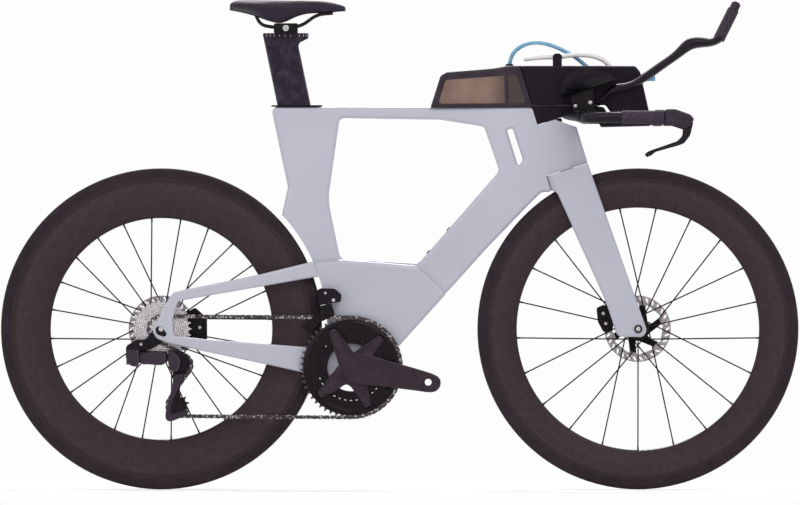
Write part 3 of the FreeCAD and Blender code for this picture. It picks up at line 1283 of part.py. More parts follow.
# Tank on the top tube: a hollow shell with a pane in each side and a cap.
TANK_PX = [(430.7, 106.8, 0), (440.4, 75.9, 6), (447, 72.2, 3), (493.5, 68.4, 60), (507, 66, 8),
           (560, 66, 0), (575, 106.8, 0)]
PANE_PX = [(445.6, 80.2, 3), (504.2, 75.8, 1), (505, 103.4, 1), (438.4, 103.8, 2)]
FRONT_PANE_PX = [(508.4, 75.4, 1), (516.2, 74.8, 2), (525.6, 103.2, 2), (509.2, 103.4, 1)]
CAP_PX = (509.4, 66.8)


def inset(points, distance):
    """Outline moved inwards by one distance; points run clockwise as seen from the drive side."""
    moved = []
    count = len(points)
    for index, (x, z, radius) in enumerate(points):
        back = Vector(x - points[index - 1][0], z - points[index - 1][1], 0).normalize()
        onward = Vector(points[(index + 1) % count][0] - x, points[(index + 1) % count][1] - z,
                        0).normalize()
        inward = Vector(back.y + onward.y, -back.x - onward.x, 0).normalize()
        moved.append((x + inward.x * distance, z + inward.y * distance, radius))
    return moved


tank_outline = flat(TANK_PX)
tank_solid = padded("tank_solid", "XZ_Plane", rounded(tank_outline), "2 * sizes.tank_half_width")


def upper_edge(edge):
    """Side edges of a padded shape, without those of its flat foot."""
    return side_edge(edge) and edge.CenterOfMass.z > tank_foot + size("tank_wall")


tank_foot = height(TANK_PX[0][1])
tank_round = softened("tank_round", tank_solid, size("tank_round"), upper_edge)
tank_hollow = padded("tank_hollow", "XZ_Plane", rounded(inset(tank_outline, size("tank_wall"))),
                     "2 * (sizes.tank_half_width - sizes.tank_wall)")
hollow_round = cylinder("hollow_round", "sizes.interface_radius + sizes.interface_gap + sizes.tank_wall",
                        "2 * sizes.cut_reach", steered(0, 0, -reach / 2))
pane_holes = [padded(f"pane_hole{index}", "XZ_Plane", rounded(flat(outline)), "sizes.cut_reach")
              for index, outline in enumerate((PANE_PX, FRONT_PANE_PX))]
tank_trimmed = cut("tank_trimmed", tank_round, above_head_round, above_head_front)
tank_inside = cut("tank_inside", tank_hollow, hollow_round, above_head_front)
tank_cap = doc.addObject("Part::Cone", "tank_cap")
tank_cap.setExpression("Radius1", "sizes.cap_radius")
tank_cap.setExpression("Radius2", "sizes.cap_top_radius")
tank_cap.setExpression("Height", "sizes.cap_height")
tank_cap.Placement = Placement(side(CAP_PX), Rotation())
node("tank_shell", cut("tank_shell", tank_trimmed, tank_inside, tank_cap, *pane_holes))
panes = []
for index, outline in enumerate((PANE_PX, FRONT_PANE_PX)):
    pane = padded(f"pane{index}", "XZ_Plane", rounded(flat(outline)), "sizes.pane_thickness",
                  size("tank_half_width") - size("pane_recess") - size("pane_thickness"), False)
    panes += [pane, mirrored(f"pane_left{index}", pane)]
node("tank_windows", group("tank_windows", *panes))
node("tank_cap", tank_cap)

# Stem and drink box: all that turns with the steerer keeps inside one radius behind the axis.
behind_half = block("behind_half", "sizes.cut_reach", "2 * sizes.cut_reach", "4 * sizes.cut_reach",
                    steered(-reach, -reach, -2 * reach))
behind_round = cylinder("behind_round", "sizes.interface_radius", "4 * sizes.cut_reach",
                        steered(0, 0, -2 * reach))
behind = cut("behind", behind_half, behind_round)
below_head = block("below_head", "2 * sizes.cut_reach", "2 * sizes.cut_reach", "sizes.cut_reach",
                   steered(-reach, -reach, size("head_tube_length") + size("above_head_gap") - reach))
STEM_PX = [(500, 105.4, 0), (604, 105.4, 3), (608, 112, 3), (604, 120, 4), (592, 126, 6), (573.7, 128, 3),
           (560, 150, 0),
           (510, 150, 0)]
BOX_FRONT_PX = (625, 100)
DRINK_PX = [(500, 66, 0), (635, 66, 5), (640, 72, 3), (652.2, 126, 3), (601, 127.3, 2), (598.4, 123.2, 2),
            (610.5, 119, 3),
            (610.5, 112, 4), (605.5, 105.2, 3), (515, 105.2, 0)]
stem_solid = padded("stem_solid", "XZ_Plane", rounded(flat(STEM_PX)), "2 * sizes.stem_half_width")
stem = cut("stem", stem_solid, behind, below_head, steerer)
node("stem_cowl", stem)
drink_solid = padded("drink_solid", "XZ_Plane", rounded(flat(DRINK_PX)), "2 * sizes.drink_half_width")
box_foot = height(DRINK_PX[-1][1])


def drink_edge(edge):
    """Side edges of the drink box above its foot and at its front."""
    centre = edge.CenterOfMass
    return side_edge(edge) and (centre.z > box_foot + size("drink_round") or centre.x > side(BOX_FRONT_PX).x)


drink_round = softened("drink_round", drink_solid, size("drink_round"), drink_edge)
drink_trimmed = cut("drink_trimmed", drink_round, behind)

# Base bar: two flat wings that become round grips pointing forwards.
WING_PX = (582, 115.5)
GRIP_PX = [(620.5, 118), (654, 118), (663, 118)]
BEND_PX = (585, 118)


def wing_section(name, pixel, y, chord, thickness):
    """Oval across the bar; chord and thickness are expressions for its half sizes."""
    oval = doc.addObject("Part::Ellipse", name)
    oval.setExpression("MajorRadius", chord)
    oval.setExpression("MinorRadius", thickness)
    oval.Placement = Placement(side(pixel, -y), ACROSS)
    return oval


wing = doc.addObject("Part::Loft", "wing_loft")
wing.Sections = [
    wing_section("wing_a", WING_PX, size("stem_half_width") - size("wing_overlap"), "sizes.wing_chord",
                 "sizes.wing_thickness"),
    wing_section("wing_b", WING_PX, size("cup_place"), "sizes.wing_middle_chord",
                 "sizes.wing_middle_thickness"),
    wing_section("wing_c", BEND_PX, size("wing_end"), "sizes.wing_tip_chord", "sizes.wing_tip_thickness"),
]
wing.Solid = True
grip_y = size("grip_place")
bar_points = [side(BEND_PX, size("wing_overlap") - size("wing_end")), side(BEND_PX, -grip_y),
              side(GRIP_PX[2], -grip_y)]
bar_tube = tube("bar_tube", bar_points, "sizes.bar_radius")
right_bar = cut("right_bar", fuse("right_bar", wing, bar_tube), stem_solid)
node("base_bar", group("base_bar", right_bar, mirrored("left_bar", right_bar)))
AHEAD = Rotation(Vector(0, 1, 0), 90)
tape_parts = []
for label, spot, radius, length in (("tape", GRIP_PX[0], "sizes.tape_radius", "sizes.tape_length"),
                                    ("tape_end", GRIP_PX[1], "sizes.tape_ring_radius",
                                     "sizes.tape_ring_length")):
    tape_parts.append(ring(label, radius, "sizes.bar_radius + sizes.tape_gap", length,
                           Placement(side(spot, -grip_y), AHEAD)))

# Lever hoods, brake levers and their pins.
HOOD_PX = [(663.2, 109.8, 3), (674, 109.8, 10), (689.1, 115.2, 6), (693.2, 120.4, 3), (685, 129.2, 3),
           (673, 125.4, 8),
           (663.2, 125.4, 3)]
LEVER_SLOT_PX = [(679.5, 118.4, 2), (700, 118.4, 0), (700, 140, 0), (679.5, 140, 0)]
LEVER_PX = [(684.8, 120.9, 3), (692.4, 121.2, 3), (688.8, 136, 8), (682.4, 144.3, 8), (655, 152, 8),
            (648.4, 157.2, 1.5),
            (645.6, 154, 1.5), (649.1, 151, 8), (677.9, 141, 6), (683.6, 135.5, 5)]
LEVER_PIVOT_PX = (688.4, 125.3)
hood_solid = padded("hood_solid", "XZ_Plane", rounded(flat(HOOD_PX)), "sizes.hood_width", grip_y)
lever_slot = padded("lever_slot", "XZ_Plane", rounded(flat(LEVER_SLOT_PX)), "sizes.lever_slot", grip_y)
lever_pivot = side(LEVER_PIVOT_PX, -grip_y)
lever_pin = cylinder("lever_pin", "sizes.lever_pin", "sizes.hood_width",
                     across(lever_pivot.x, size("hood_width") / 2 - grip_y, lever_pivot.z))
hood_round = softened("hood_round", hood_solid, size("drink_round"), side_edge)
right_hood = fuse("right_hood", cut("hood_slotted", hood_round, lever_slot), lever_pin)
node("lever_hoods", group("lever_hoods", right_hood, mirrored("left_hood", right_hood)))
lever_solid = padded("lever_solid", "XZ_Plane", rounded(flat(LEVER_PX)), "sizes.lever_width", grip_y)
lever_bore = cylinder("lever_bore", "sizes.lever_pin + sizes.lever_clearance", "sizes.hood_width",
                      across(lever_pivot.x, size("hood_width") / 2 - grip_y, lever_pivot.z))
brake_lever = cut("brake_lever", lever_solid, lever_bore)
node("brake_lever_right", brake_lever)
node("brake_lever_left", mirrored("brake_lever_left", brake_lever))

# Arm rests: a bracket on each wing, a cup on it and a pad in the cup.
BRACKET_ARM_PX = [(569.5, 92, 2), (593.2, 84.5, 1), (594, 108, 2), (597, 111.5, 2), (596, 115.5, 0),
                  (573, 115.5, 0),
                  (572.5, 110, 2)]
FLOOR_PX = [(565, 98), (617, 81)]
CUP_PX = [(561, 99.5, 3), (561.5, 84.5, 6), (566.4, 75.5, 8), (576, 70, 12), (587.4, 68.1, 12),
          (598.5, 70.6, 20),
          (610, 74.6, 20), (618.5, 80.6, 3), (595.1, 89.8, 0), (570, 100.5, 4)]
PAD_PX = [(564, 99.5, 3), (564.3, 85.2, 6), (568.6, 77.6, 8), (577, 72.6, 12), (587.4, 70.8, 12),
          (597.8, 73.2, 20),
          (608.6, 77, 20), (614.8, 82, 3), (595.1, 90.8, 0), (570, 101.5, 4)]
floor_back = side(FLOOR_PX[0], -size("cup_place"))
floor_front = side(FLOOR_PX[1], -size("cup_place"))
floor_way = (floor_front - floor_back).normalize()
floor_up = Vector(-floor_way.z, 0, floor_way.x)
cup_axis = floor_back + floor_up * size("cup_radius") - floor_way * size("cup_radius")
cup_place = Placement(cup_axis, Rotation(Vector(0, 0, 1), floor_way))
cup_tube = ring("cup_tube", "sizes.cup_radius", "sizes.cup_radius - sizes.cup_wall", "sizes.cut_reach",
                cup_place)
pad_tube = ring("pad_tube", "sizes.cup_radius - sizes.cup_wall",
                "sizes.cup_radius - sizes.cup_wall - sizes.pad_thickness", "sizes.cut_reach", cup_place)
cup_side = padded("cup_side", "XZ_Plane", rounded(flat(CUP_PX)), "sizes.cut_reach", size("cup_place"))
pad_side = padded("pad_side", "XZ_Plane", rounded(flat(PAD_PX)), "sizes.cut_reach", size("cup_place"))
cup = common("cup", cup_tube, cup_side)
arm_pad = common("arm_pad", pad_tube, pad_side)
node("arm_cups", group("arm_cups", cup, mirrored("left_cup", cup)))
node("arm_pads", group("arm_pads", arm_pad, mirrored("left_pad", arm_pad)))
cup_core = cylinder("cup_core", "sizes.cup_radius", "sizes.cut_reach", cup_place)
bracket_offset = size("bracket_inner")
bracket_solid = padded("bracket_solid", "XZ_Plane", rounded(flat(BRACKET_ARM_PX)), "sizes.bracket_width",
                       bracket_offset,
                       False)
arm_bracket = cut("arm_bracket", bracket_solid, right_bar, cup_core)
node("arm_brackets", group("arm_brackets", arm_bracket, mirrored("left_bracket", arm_bracket)))

# Extensions, their grips, the shifter pods and the buttons in their tips.
# Per station: pixel, half height in pixels and share of the sideways step.
EXTENSION_PX = [
    (588, 95.8, 3.2, 0), (610, 90.8, 3.4, 0.1), (626, 86.4, 3.6, 0.2), (643, 78.6, 4, 0.4),
    (661, 66, 4.2, 0.6),
    (679, 52.8, 4.6, 0.8), (691.5, 43.6, 5.8, 0.9), (704, 42.6, 4.6, 1), (714, 41.4, 4, 1),
    (720.5, 37.4, 4, 1),
]
GRIP_PX_ENDS = [(718.6, 39.6), (733.4, 9.8)]
start_y = size("extension_start")
step_y = size("extension_end") - start_y
stations = [side((px, py), -(start_y + step_y * share)) for px, py, half, share in EXTENSION_PX]
extension_ovals = []
for index, (station, (px, py, half, share)) in enumerate(zip(stations, EXTENSION_PX)):
    run = stations[min(index + 1, len(stations) - 1)] - stations[max(index - 1, 0)]
    oval = doc.addObject("Part::Ellipse", f"extension_oval{index}")
    oval.setExpression("MajorRadius", "sizes.extension_half_width")
    oval.MinorRadius = half * scale
    oval.Placement = Placement(station, Rotation(Vector(0, 1, 0), Vector(), run, "ZXY"))
    extension_ovals.append(oval)
extension_wing = doc.addObject("Part::Loft", "extension_wing")
extension_wing.Sections = extension_ovals
extension_wing.Solid = True
grip_start, grip_end = [side(pixel, -size("extension_end")) for pixel in GRIP_PX_ENDS]
grip_turn = Rotation(Vector(0, 0, 1), grip_end - grip_start)
grip_core = cylinder("grip_core", "sizes.extension_radius", "sizes.grip_length",
                     Placement(grip_start, grip_turn))
grip_hull = cylinder("grip_hull", "sizes.grip_radius", "sizes.grip_length",
                     Placement(grip_start, grip_turn))
extension_bare = cut("extension_bare", extension_wing, bracket_solid, grip_hull)
extension = fuse("extension", extension_bare, grip_core)
node("extensions", group("extensions", extension, mirrored("left_extension", extension)))
grip = ring("grip", "sizes.grip_radius", "sizes.extension_radius + sizes.tape_gap", "sizes.grip_length",
            Placement(grip_start, grip_turn))
right_tape = tape_parts + [grip]
node("grip_tape", group("grip_tape", *right_tape, *[mirrored(f"left_tape{index}", item)
                                                     for index, item in enumerate(right_tape)]))
pod_way = grip_turn.multVec(Vector(0, 0, 1))
pod_base = grip_start + pod_way * size("grip_length")
pod_tip = pod_base + pod_way * size("pod_length")
pod_solid = cylinder("pod_solid", "sizes.pod_radius", "sizes.pod_length", Placement(pod_base, grip_turn))
pocket = cylinder("pocket", "sizes.button_radius + sizes.button_clearance", "sizes.cut_reach",
                  Placement(pod_tip - pod_way * size("pocket_depth"), grip_turn))
pod = cut("pod", pod_solid, pocket)
node("shifter_pods", group("shifter_pods", pod, mirrored("left_pod", pod)))
button_base = pod_tip + pod_way * (size("button_rise") - size("button_length"))
button = cylinder("button", "sizes.button_radius", "sizes.button_length", Placement(button_base, grip_turn))
node("shift_button_right", button)
node("shift_button_left", mirrored("shift_button_left", button))

# Drink box fittings: the tube with its clip, the filler valve and the hose from the tank.
TUBE_PX = [(523.6, 59.2), (540, 57), (557.2, 57.4), (575, 54.6), (592, 55.4), (606, 60.8), (611.5, 69)]
HOSE_PX = [(509.6, 64.2), (511.2, 55), (519, 47.4), (529, 43), (541, 42.4), (555, 46.6), (567, 52.2),
           (578, 58.8), (588.5, 68)]
CLIP_PX = [(552.7, 56, 2), (555, 53.6, 2), (560, 53.6, 2), (561.8, 56, 2), (561.8, 66, 0), (552.7, 66, 0)]
VALVE_PX = [(638, 77.6), (655, 77)]
tube_y = -size("tube_place")
drink_way = [side(pixel, tube_y) for pixel in TUBE_PX]
drink_core = tube("drink_core", drink_way, "sizes.tube_radius")
clip_solid = padded("clip_solid", "XZ_Plane", rounded(flat(CLIP_PX)), "sizes.clip_width",
                    size("tube_place"))
hose_y = size("hose_place")
hose_way = [side(pixel, hose_y) for pixel in HOSE_PX]
hose_core = tube("hose_core", hose_way, "sizes.hose_radius")
valve_start = side(VALVE_PX[0])
valve = cylinder("valve", "sizes.valve_radius", "sizes.valve_length",
                 facing(valve_start, side(VALVE_PX[1])))
node("drink_box", group("drink_box", drink_trimmed, cut("tube_clip", clip_solid, drink_core)))
node("drink_tube", cut("drink_tube", drink_core, drink_solid))
node("feed_hose", cut("feed_hose", hose_core, drink_solid, tank_cap))
node("filler_valve", cut("filler_valve", valve, drink_solid))


doc.recompute()
failed = [item.Name for item in doc.Objects if "Invalid" in item.State or "Error" in item.State]
if failed:
    raise RuntimeError(f"features in error: {failed}")
broken = [name for name, item in nodes.items() if item.Shape.isNull() or not item.Shape.isValid()]
if broken:
    raise RuntimeError(f"pieces without a valid shape: {broken}")
os.makedirs("parts", exist_ok=True)
for name, item in nodes.items():
    item.Shape.exportStep(f"parts/{name}.step")
    print(name, len(item.Shape.Solids), round(item.Shape.Volume))
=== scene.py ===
import math

import bpy
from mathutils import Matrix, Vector


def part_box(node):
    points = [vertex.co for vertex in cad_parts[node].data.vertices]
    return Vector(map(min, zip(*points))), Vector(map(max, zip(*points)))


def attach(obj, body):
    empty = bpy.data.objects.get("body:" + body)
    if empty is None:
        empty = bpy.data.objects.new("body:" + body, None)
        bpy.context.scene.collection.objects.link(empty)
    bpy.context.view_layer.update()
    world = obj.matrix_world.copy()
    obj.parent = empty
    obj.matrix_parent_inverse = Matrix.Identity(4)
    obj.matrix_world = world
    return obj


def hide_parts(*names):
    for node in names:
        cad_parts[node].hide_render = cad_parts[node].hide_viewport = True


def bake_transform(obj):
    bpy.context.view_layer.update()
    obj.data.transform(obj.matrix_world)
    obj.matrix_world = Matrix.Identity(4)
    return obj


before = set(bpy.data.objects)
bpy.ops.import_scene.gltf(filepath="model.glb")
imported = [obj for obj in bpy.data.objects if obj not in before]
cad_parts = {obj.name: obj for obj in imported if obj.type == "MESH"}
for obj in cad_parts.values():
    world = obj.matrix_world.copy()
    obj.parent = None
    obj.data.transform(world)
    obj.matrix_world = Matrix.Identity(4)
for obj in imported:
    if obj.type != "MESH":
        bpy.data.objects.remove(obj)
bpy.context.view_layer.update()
bpy.context.scene.view_settings.view_transform = "Standard"

# Frame, stays and fork: hollow carbon mouldings bonded at the joints, sprayed in pale lavender-grey enamel.
# The clear coat over it gives even gloss with a trace of orange peel some 1.5 mm wide.


def linear(code):
    parts = [int(code[index:index + 2], 16) / 255 for index in (1, 3, 5)]
    return tuple(part / 12.92 if part <= 0.04045 else ((part + 0.055) / 1.055) ** 2.4 for part in parts) + (1.0,)


def add(tree, kind, sockets=None, **settings):
    made = tree.nodes.new("ShaderNode" + kind)
    for name, value in settings.items():
        setattr(made, name, value)
    for key, value in (sockets or {}).items():
        if isinstance(value, bpy.types.NodeSocket):
            tree.links.new(value, made.inputs[key])
        else:
            made.inputs[key].default_value = value
    return made


def mottled(name, dark, light, grain, roughness, ends=(0.35, 0.75), **sockets):
    """Material whose colour and roughness drift with a cloudy grain; grain is its spots per metre."""
    material = bpy.data.materials.new(name)
    material.use_nodes = True
    tree = material.node_tree
    shader = tree.nodes["Principled BSDF"]
    for key, value in sockets.items():
        shader.inputs[key.replace("_", " ")].default_value = value
    place = add(tree, "TexCoord").outputs["Object"]
    cloud = add(tree, "TexNoise", {"Vector": place, "Scale": grain, "Detail": 5.0}).outputs["Fac"]
    tint = add(tree, "ValToRGB", {"Fac": cloud})
    for stop, position, code in zip(tint.color_ramp.elements, ends, (dark, light)):
        stop.position = position
        stop.color = linear(code)
    matte = add(tree, "MapRange", {"Value": cloud, "To Min": roughness[0], "To Max": roughness[1]})
    tree.links.new(tint.outputs["Color"], shader.inputs["Base Color"])
    tree.links.new(matte.outputs["Result"], shader.inputs["Roughness"])
    return material, tree, shader, place


def dress(material, *names):
    for name in names:
        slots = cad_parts[name].data.materials
        slots.clear()
        slots.append(material)


enamel, tree, shader, place = mottled("lavender_enamel", "#bbbbca", "#c4c4d1", 3.0, (0.24, 0.34), Coat_Weight=0.5,
                                      Coat_Roughness=0.05)
peel = add(tree, "TexNoise", {"Vector": place, "Scale": 700.0, "Detail": 1.0})
skin = add(tree, "Bump", {"Height": peel.outputs["Fac"], "Strength": 0.02, "Distance": 0.0004})
tree.links.new(skin.outputs["Normal"], shader.inputs["Normal"])
dress(enamel, "main_frame", "rear_stays_right", "rear_stays_left", "fork")

# Small hardware: aluminium turned or forged, then black anodised. The skin is satin, a little brown, with
# tool marks some 4 mm apart that only show in the highlights.
anodised = mottled("black_anodised", "#100d10", "#2a2429", 240.0, (0.26, 0.44), Metallic=0.85)[0]
dress(anodised, "front_hub", "rear_hub", "front_axle", "rear_axle", "front_caliper", "rear_caliper", "saddle_clamp",
      "saddle_rails", "derailleur_hanger", "bottle_bosses", "seatpost_wedge", "frame_bearings", "arm_brackets",
      "front_derailleur_cage", "derailleur_link", "derailleur_cage", "front_spokes", "rear_spokes")
bright = mottled("bare_stainless", "#a9a5a8", "#dcd9db", 500.0, (0.18, 0.36), Metallic=1.0)[0]

# Screws in the arm brackets, the saddle clamp, the derailleurs, the calipers and the axle ends: steel, cold headed
# round with a key socket, each pressed against the face that carries it.


def screw(spot, way, radius, rise, key):
    """One round head on a face: spot is on the face, way points out of it."""
    out = Vector(way)
    turn = out.to_track_quat("Z", "Y").to_euler()
    bpy.ops.object.select_all(action="DESELECT")
    bpy.ops.mesh.primitive_cylinder_add(vertices=40, radius=radius, depth=2 * rise, location=spot, rotation=turn)
    head = bpy.context.object
    edge = head.modifiers.new("edge", "BEVEL")
    edge.width = 0.3 * rise
    edge.segments = 3
    bpy.ops.object.modifier_apply(modifier="edge")
    bpy.ops.mesh.primitive_cylinder_add(vertices=6, radius=key, depth=1.4 * rise, location=Vector(spot) + out * rise,
                                        rotation=turn)
    cutter = bpy.context.object
    bpy.context.view_layer.objects.active = head
    hole = head.modifiers.new("key", "BOOLEAN")
    hole.operation = "DIFFERENCE"
    hole.object = cutter
    bpy.ops.object.modifier_apply(modifier="key")
    bpy.data.objects.remove(cutter)
    return head


def gather(name, pieces, material, body=None):
    """Joins pieces into one object at the origin that rides on a body, where one is named."""
    bpy.ops.object.select_all(action="DESELECT")
    for piece in pieces:
        piece.select_set(True)
    bpy.context.view_layer.objects.active = pieces[0]
    if len(pieces) > 1:
        bpy.ops.object.join()
    bpy.ops.object.transform_apply(location=True, rotation=True, scale=True)
    bpy.ops.object.shade_smooth_by_angle(angle=math.radians(35))
    whole = bpy.context.object
    whole.name = name
    whole.data.materials.clear()
    whole.data.materials.append(material)
    if body:
        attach(whole, body)


drive_side = (0, -1, 0)
far_side = (0, 1, 0)
low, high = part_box("arm_brackets")
bracket_screws = []
for y, way in ((low[1], drive_side), (high[1], far_side)):
    bracket_screws.append(screw((0.4002, y, 0.8137), way, radius=0.0042, rise=0.0018, key=0.0022))
    bracket_screws.append(screw((0.3691, y, 0.8068), way, radius=0.0036, rise=0.0016, key=0.0019))
gather("arm_bracket_screws", bracket_screws, bright, "steering")
low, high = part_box("saddle_clamp")
clamp_screws = [screw(((low[0] + high[0]) / 2, y, (low[2] + high[2]) / 2), way, radius=0.0066, rise=0.0024, key=0.003)
                for y, way in ((low[1], drive_side), (high[1], far_side))]
gather("saddle_clamp_screws", clamp_screws, bright, "seat")
hanger_bolt = Vector((-0.5433, -0.093, 0.3061))
hanger_socket = hanger_bolt + Vector((0, -0.0012, 0))
gather("hanger_screw", [screw(hanger_bolt, drive_side, radius=0.0078, rise=0.003, key=0.0034)], anodised,
       "frame")
gather("hanger_screw_socket", [screw(hanger_socket, drive_side, radius=0.0032, rise=0.0007, key=0.0016)], bright,
       "frame")
axle_reach = 0.5015
axle_height = 0.338
low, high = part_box("rear_axle")
rear_socket = screw((-axle_reach, low[1], axle_height), drive_side, radius=0.0052, rise=0.0007, key=0.003)
gather("rear_axle_socket", [rear_socket], bright, "frame")
low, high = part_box("front_axle")
front_socket = screw((axle_reach, low[1], axle_height), drive_side, radius=0.0048, rise=0.0006, key=0.003)
gather("front_axle_socket", [front_socket], bright, "steering")
low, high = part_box("front_derailleur")
shift_screws = []
for forward, up, radius in ((0.68, 0.3, 0.0036), (0.35, 0.72, 0.0026)):
    spot = (low[0] + forward * (high[0] - low[0]), low[1], low[2] + up * (high[2] - low[2]))
    shift_screws.append(screw(spot, drive_side, radius, rise=0.001, key=radius / 2))
gather("front_derailleur_screws", shift_screws, bright, "frame")
for wheel, body, spots in (("rear", "frame", ((-0.4363, 0.3619), (-0.4216, 0.3408))),
                           ("front", "steering", ((0.4291, 0.3703), (0.4344, 0.3492)))):
    low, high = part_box(wheel + "_caliper")
    caliper_screws = [screw((x, y, z), way, radius=0.0036, rise=0.0014, key=0.0018)
                      for x, z in spots for y, way in ((low[1], drive_side), (high[1], far_side))]
    gather(wheel + "_caliper_screws", caliper_screws, bright, body)

# Wheels: deep carbon rims, slick rubber tyres, stainless rotors and steel spokes in round nipples.
# Under the rim's clear coat short fibres give faint brown-grey clouds some 12 mm wide.
# The spokes lean both ways to their flanges, few of them on one side of the hub and many on the other.


def reach_from(tree, place, x, z):
    """Distance of each point from an axle that runs across the bike through x and z."""
    moved = add(tree, "Mapping", {"Vector": place, "Location": (-x, 0, -z)})
    level = add(tree, "VectorMath", {0: moved.outputs["Vector"], 1: (1, 0, 1)}, operation="MULTIPLY")
    return add(tree, "VectorMath", {0: level.outputs["Vector"]}, operation="LENGTH").outputs["Value"]


rubber_edge = 0.316
carrier_edge = 0.05
flange_radius = 0.0255
spoke_leans = (0, 55, -55)
nipple_length = 0.0086
nipple_seat = 0.0042
for wheel, centre, depth, count, phase, few, many, side in (
        ("front", axle_reach, 0.061, 21, -90, 0.021, 0.033, -1),
        ("rear", -axle_reach, 0.083, 24, 80, 0.034, 0.017, 1)):
    rim_carbon, tree, shader, place = mottled(wheel + "_rim_carbon", "#2e2427", "#3a2e32", 80.0, (0.27, 0.4),
                                              Coat_Weight=0.1, Coat_Roughness=0.15, Specular_IOR_Level=0.35,
                                              Specular_Tint=linear("#d8b8c4"))
    reach = reach_from(tree, place, centre, axle_height)
    # Painted shade and highlight across the rim's depth: darker at the inner edge and in the crease against the tyre,
    # with a painted highlight band just inside that crease.
    across = add(tree, "MapRange", {"Value": reach, "From Min": rubber_edge - depth, "From Max": rubber_edge})
    rim_painted_light = add(tree, "ValToRGB", {"Fac": across.outputs["Result"]})
    ramp = rim_painted_light.color_ramp
    for position, grey in ((0.0, 0.55), (0.1, 0.8), (0.5, 1.0), (0.85, 1.15), (0.95, 0.5), (1.0, 0.2)):
        stop = ramp.elements.new(position)
        stop.color = (grey, grey, grey, 1)
    ramp.elements.remove(ramp.elements[0])
    ramp.elements.remove(ramp.elements[-1])
    toned = add(tree, "Mix", {"Factor": 1.0, "A": tree.nodes["Color Ramp"].outputs["Color"],
                              "B": rim_painted_light.outputs["Color"]}, data_type="RGBA", blend_type="MULTIPLY")
    tree.links.new(toned.outputs["Result"], shader.inputs["Base Color"])
    dress(rim_carbon, wheel + "_rim")
    tyre_rubber, tree, shader, place = mottled(wheel + "_tyre_rubber", "#1d171b", "#2d252a", 24.0, (0.5, 0.68),
                                               Specular_IOR_Level=0.35, Specular_Tint=linear("#d8c0ca"))
    grit = add(tree, "TexNoise", {"Vector": place, "Scale": 900.0, "Detail": 3.0})
    skin = add(tree, "Bump", {"Height": grit.outputs["Fac"], "Strength": 0.25, "Distance": 0.0005})
    tree.links.new(skin.outputs["Normal"], shader.inputs["Normal"])
    dress(tyre_rubber, wheel + "_tyre")
    rotor_steel, tree, shader, place = mottled(wheel + "_rotor_steel", "#8d878b", "#b5aeb3", 300.0, (0.22, 0.4),
                                               Metallic=1.0)
    reach = reach_from(tree, place, centre, axle_height)
    carrier = add(tree, "MapRange", {"Value": reach, "From Min": carrier_edge - 0.0005,
                                      "From Max": carrier_edge + 0.0005})
    toned = add(tree, "Mix", {"Factor": carrier.outputs["Result"], "A": linear("#1b171a"),
                              "B": tree.nodes["Color Ramp"].outputs["Color"]}, data_type="RGBA")
    tree.links.new(toned.outputs["Result"], shader.inputs["Base Color"])
    dress(rotor_steel, wheel + "_rotor")
    nipples = []
    for index in range(count):
        angle = math.radians(phase + index * 360 / count)
        lean = angle + math.radians(spoke_leans[index % 3])
        flange = side * few if index % 3 == 0 else -side * many
        foot = Vector((math.cos(angle), 0, math.sin(angle))) * (rubber_edge - depth)
        run = Vector((flange_radius * math.cos(lean), flange, flange_radius * math.sin(lean))) - foot
        middle = foot + run.normalized() * nipple_seat + Vector((centre, 0, axle_height))
        bpy.ops.object.select_all(action="DESELECT")
        bpy.ops.mesh.primitive_cone_add(vertices=12, radius1=0.0021, radius2=0.0016, depth=nipple_length,
                                        location=middle, rotation=run.to_track_quat("Z", "Y").to_euler())
        nipple = bpy.context.object
        collar = nipple.modifiers.new("collar", "BEVEL")
        collar.width = 0.0004
        bpy.ops.object.modifier_apply(modifier="collar")
        nipples.append(nipple)
    gather(wheel + "_spoke_nipples", nipples, anodised, wheel + "_wheel")

# Cranks: hollow forged aluminium arms with a brown-black anodised skin, soft gloss. The drive side carries a crowned
# shell in which the arm flows into the four arms that hold the chainrings.
crank_skin = mottled("crank_anodised", "#2a2128", "#382d35", 40.0, (0.16, 0.24), Metallic=0.3,
                     Specular_Tint=linear("#d9c0d0"))[0]
dress(crank_skin, "crank_arms")


def moulded(layers, voxel, rounds, lean=0.0, level=0.0):
    """Crowned cover: each layer is (outlines, back, depth), outlines of (x, z) points grown by depth from Y = back
    towards the drive side. The layers melt into one skin, and lean tips it about the height level."""
    stack = []
    for outlines, back, depth in layers:
        line = bpy.data.curves.new("cover", "CURVE")
        line.dimensions = "2D"
        line.fill_mode = "BOTH"
        line.extrude = depth / 2
        for outline in outlines:
            edge = line.splines.new("NURBS")
            edge.points.add(len(outline) - 1)
            for point, (x, z) in zip(edge.points, outline):
                point.co = (x, z, 0, 1)
            edge.use_cyclic_u = True
            edge.order_u = 3
        sheet = bpy.data.objects.new("cover", line)
        bpy.context.collection.objects.link(sheet)
        sheet.location = (0, back - depth / 2, 0)
        sheet.rotation_euler = (math.pi / 2, 0, 0)
        stack.append(sheet)
    bpy.ops.object.select_all(action="DESELECT")
    for sheet in stack:
        sheet.select_set(True)
    bpy.context.view_layer.objects.active = stack[0]
    bpy.ops.object.convert(target="MESH")
    if len(stack) > 1:
        bpy.ops.object.join()
    bpy.ops.object.transform_apply(location=True, rotation=True, scale=True)
    cover = bpy.context.object
    skin = cover.modifiers.new("skin", "REMESH")
    skin.mode = "VOXEL"
    skin.voxel_size = voxel
    soft = cover.modifiers.new("soft", "SMOOTH")
    soft.factor = 0.5
    soft.iterations = rounds
    for modifier in ("skin", "soft"):
        bpy.ops.object.modifier_apply(modifier=modifier)
    for vertex in cover.data.vertices:
        vertex.co.y += lean * (vertex.co.z - level)
    return cover


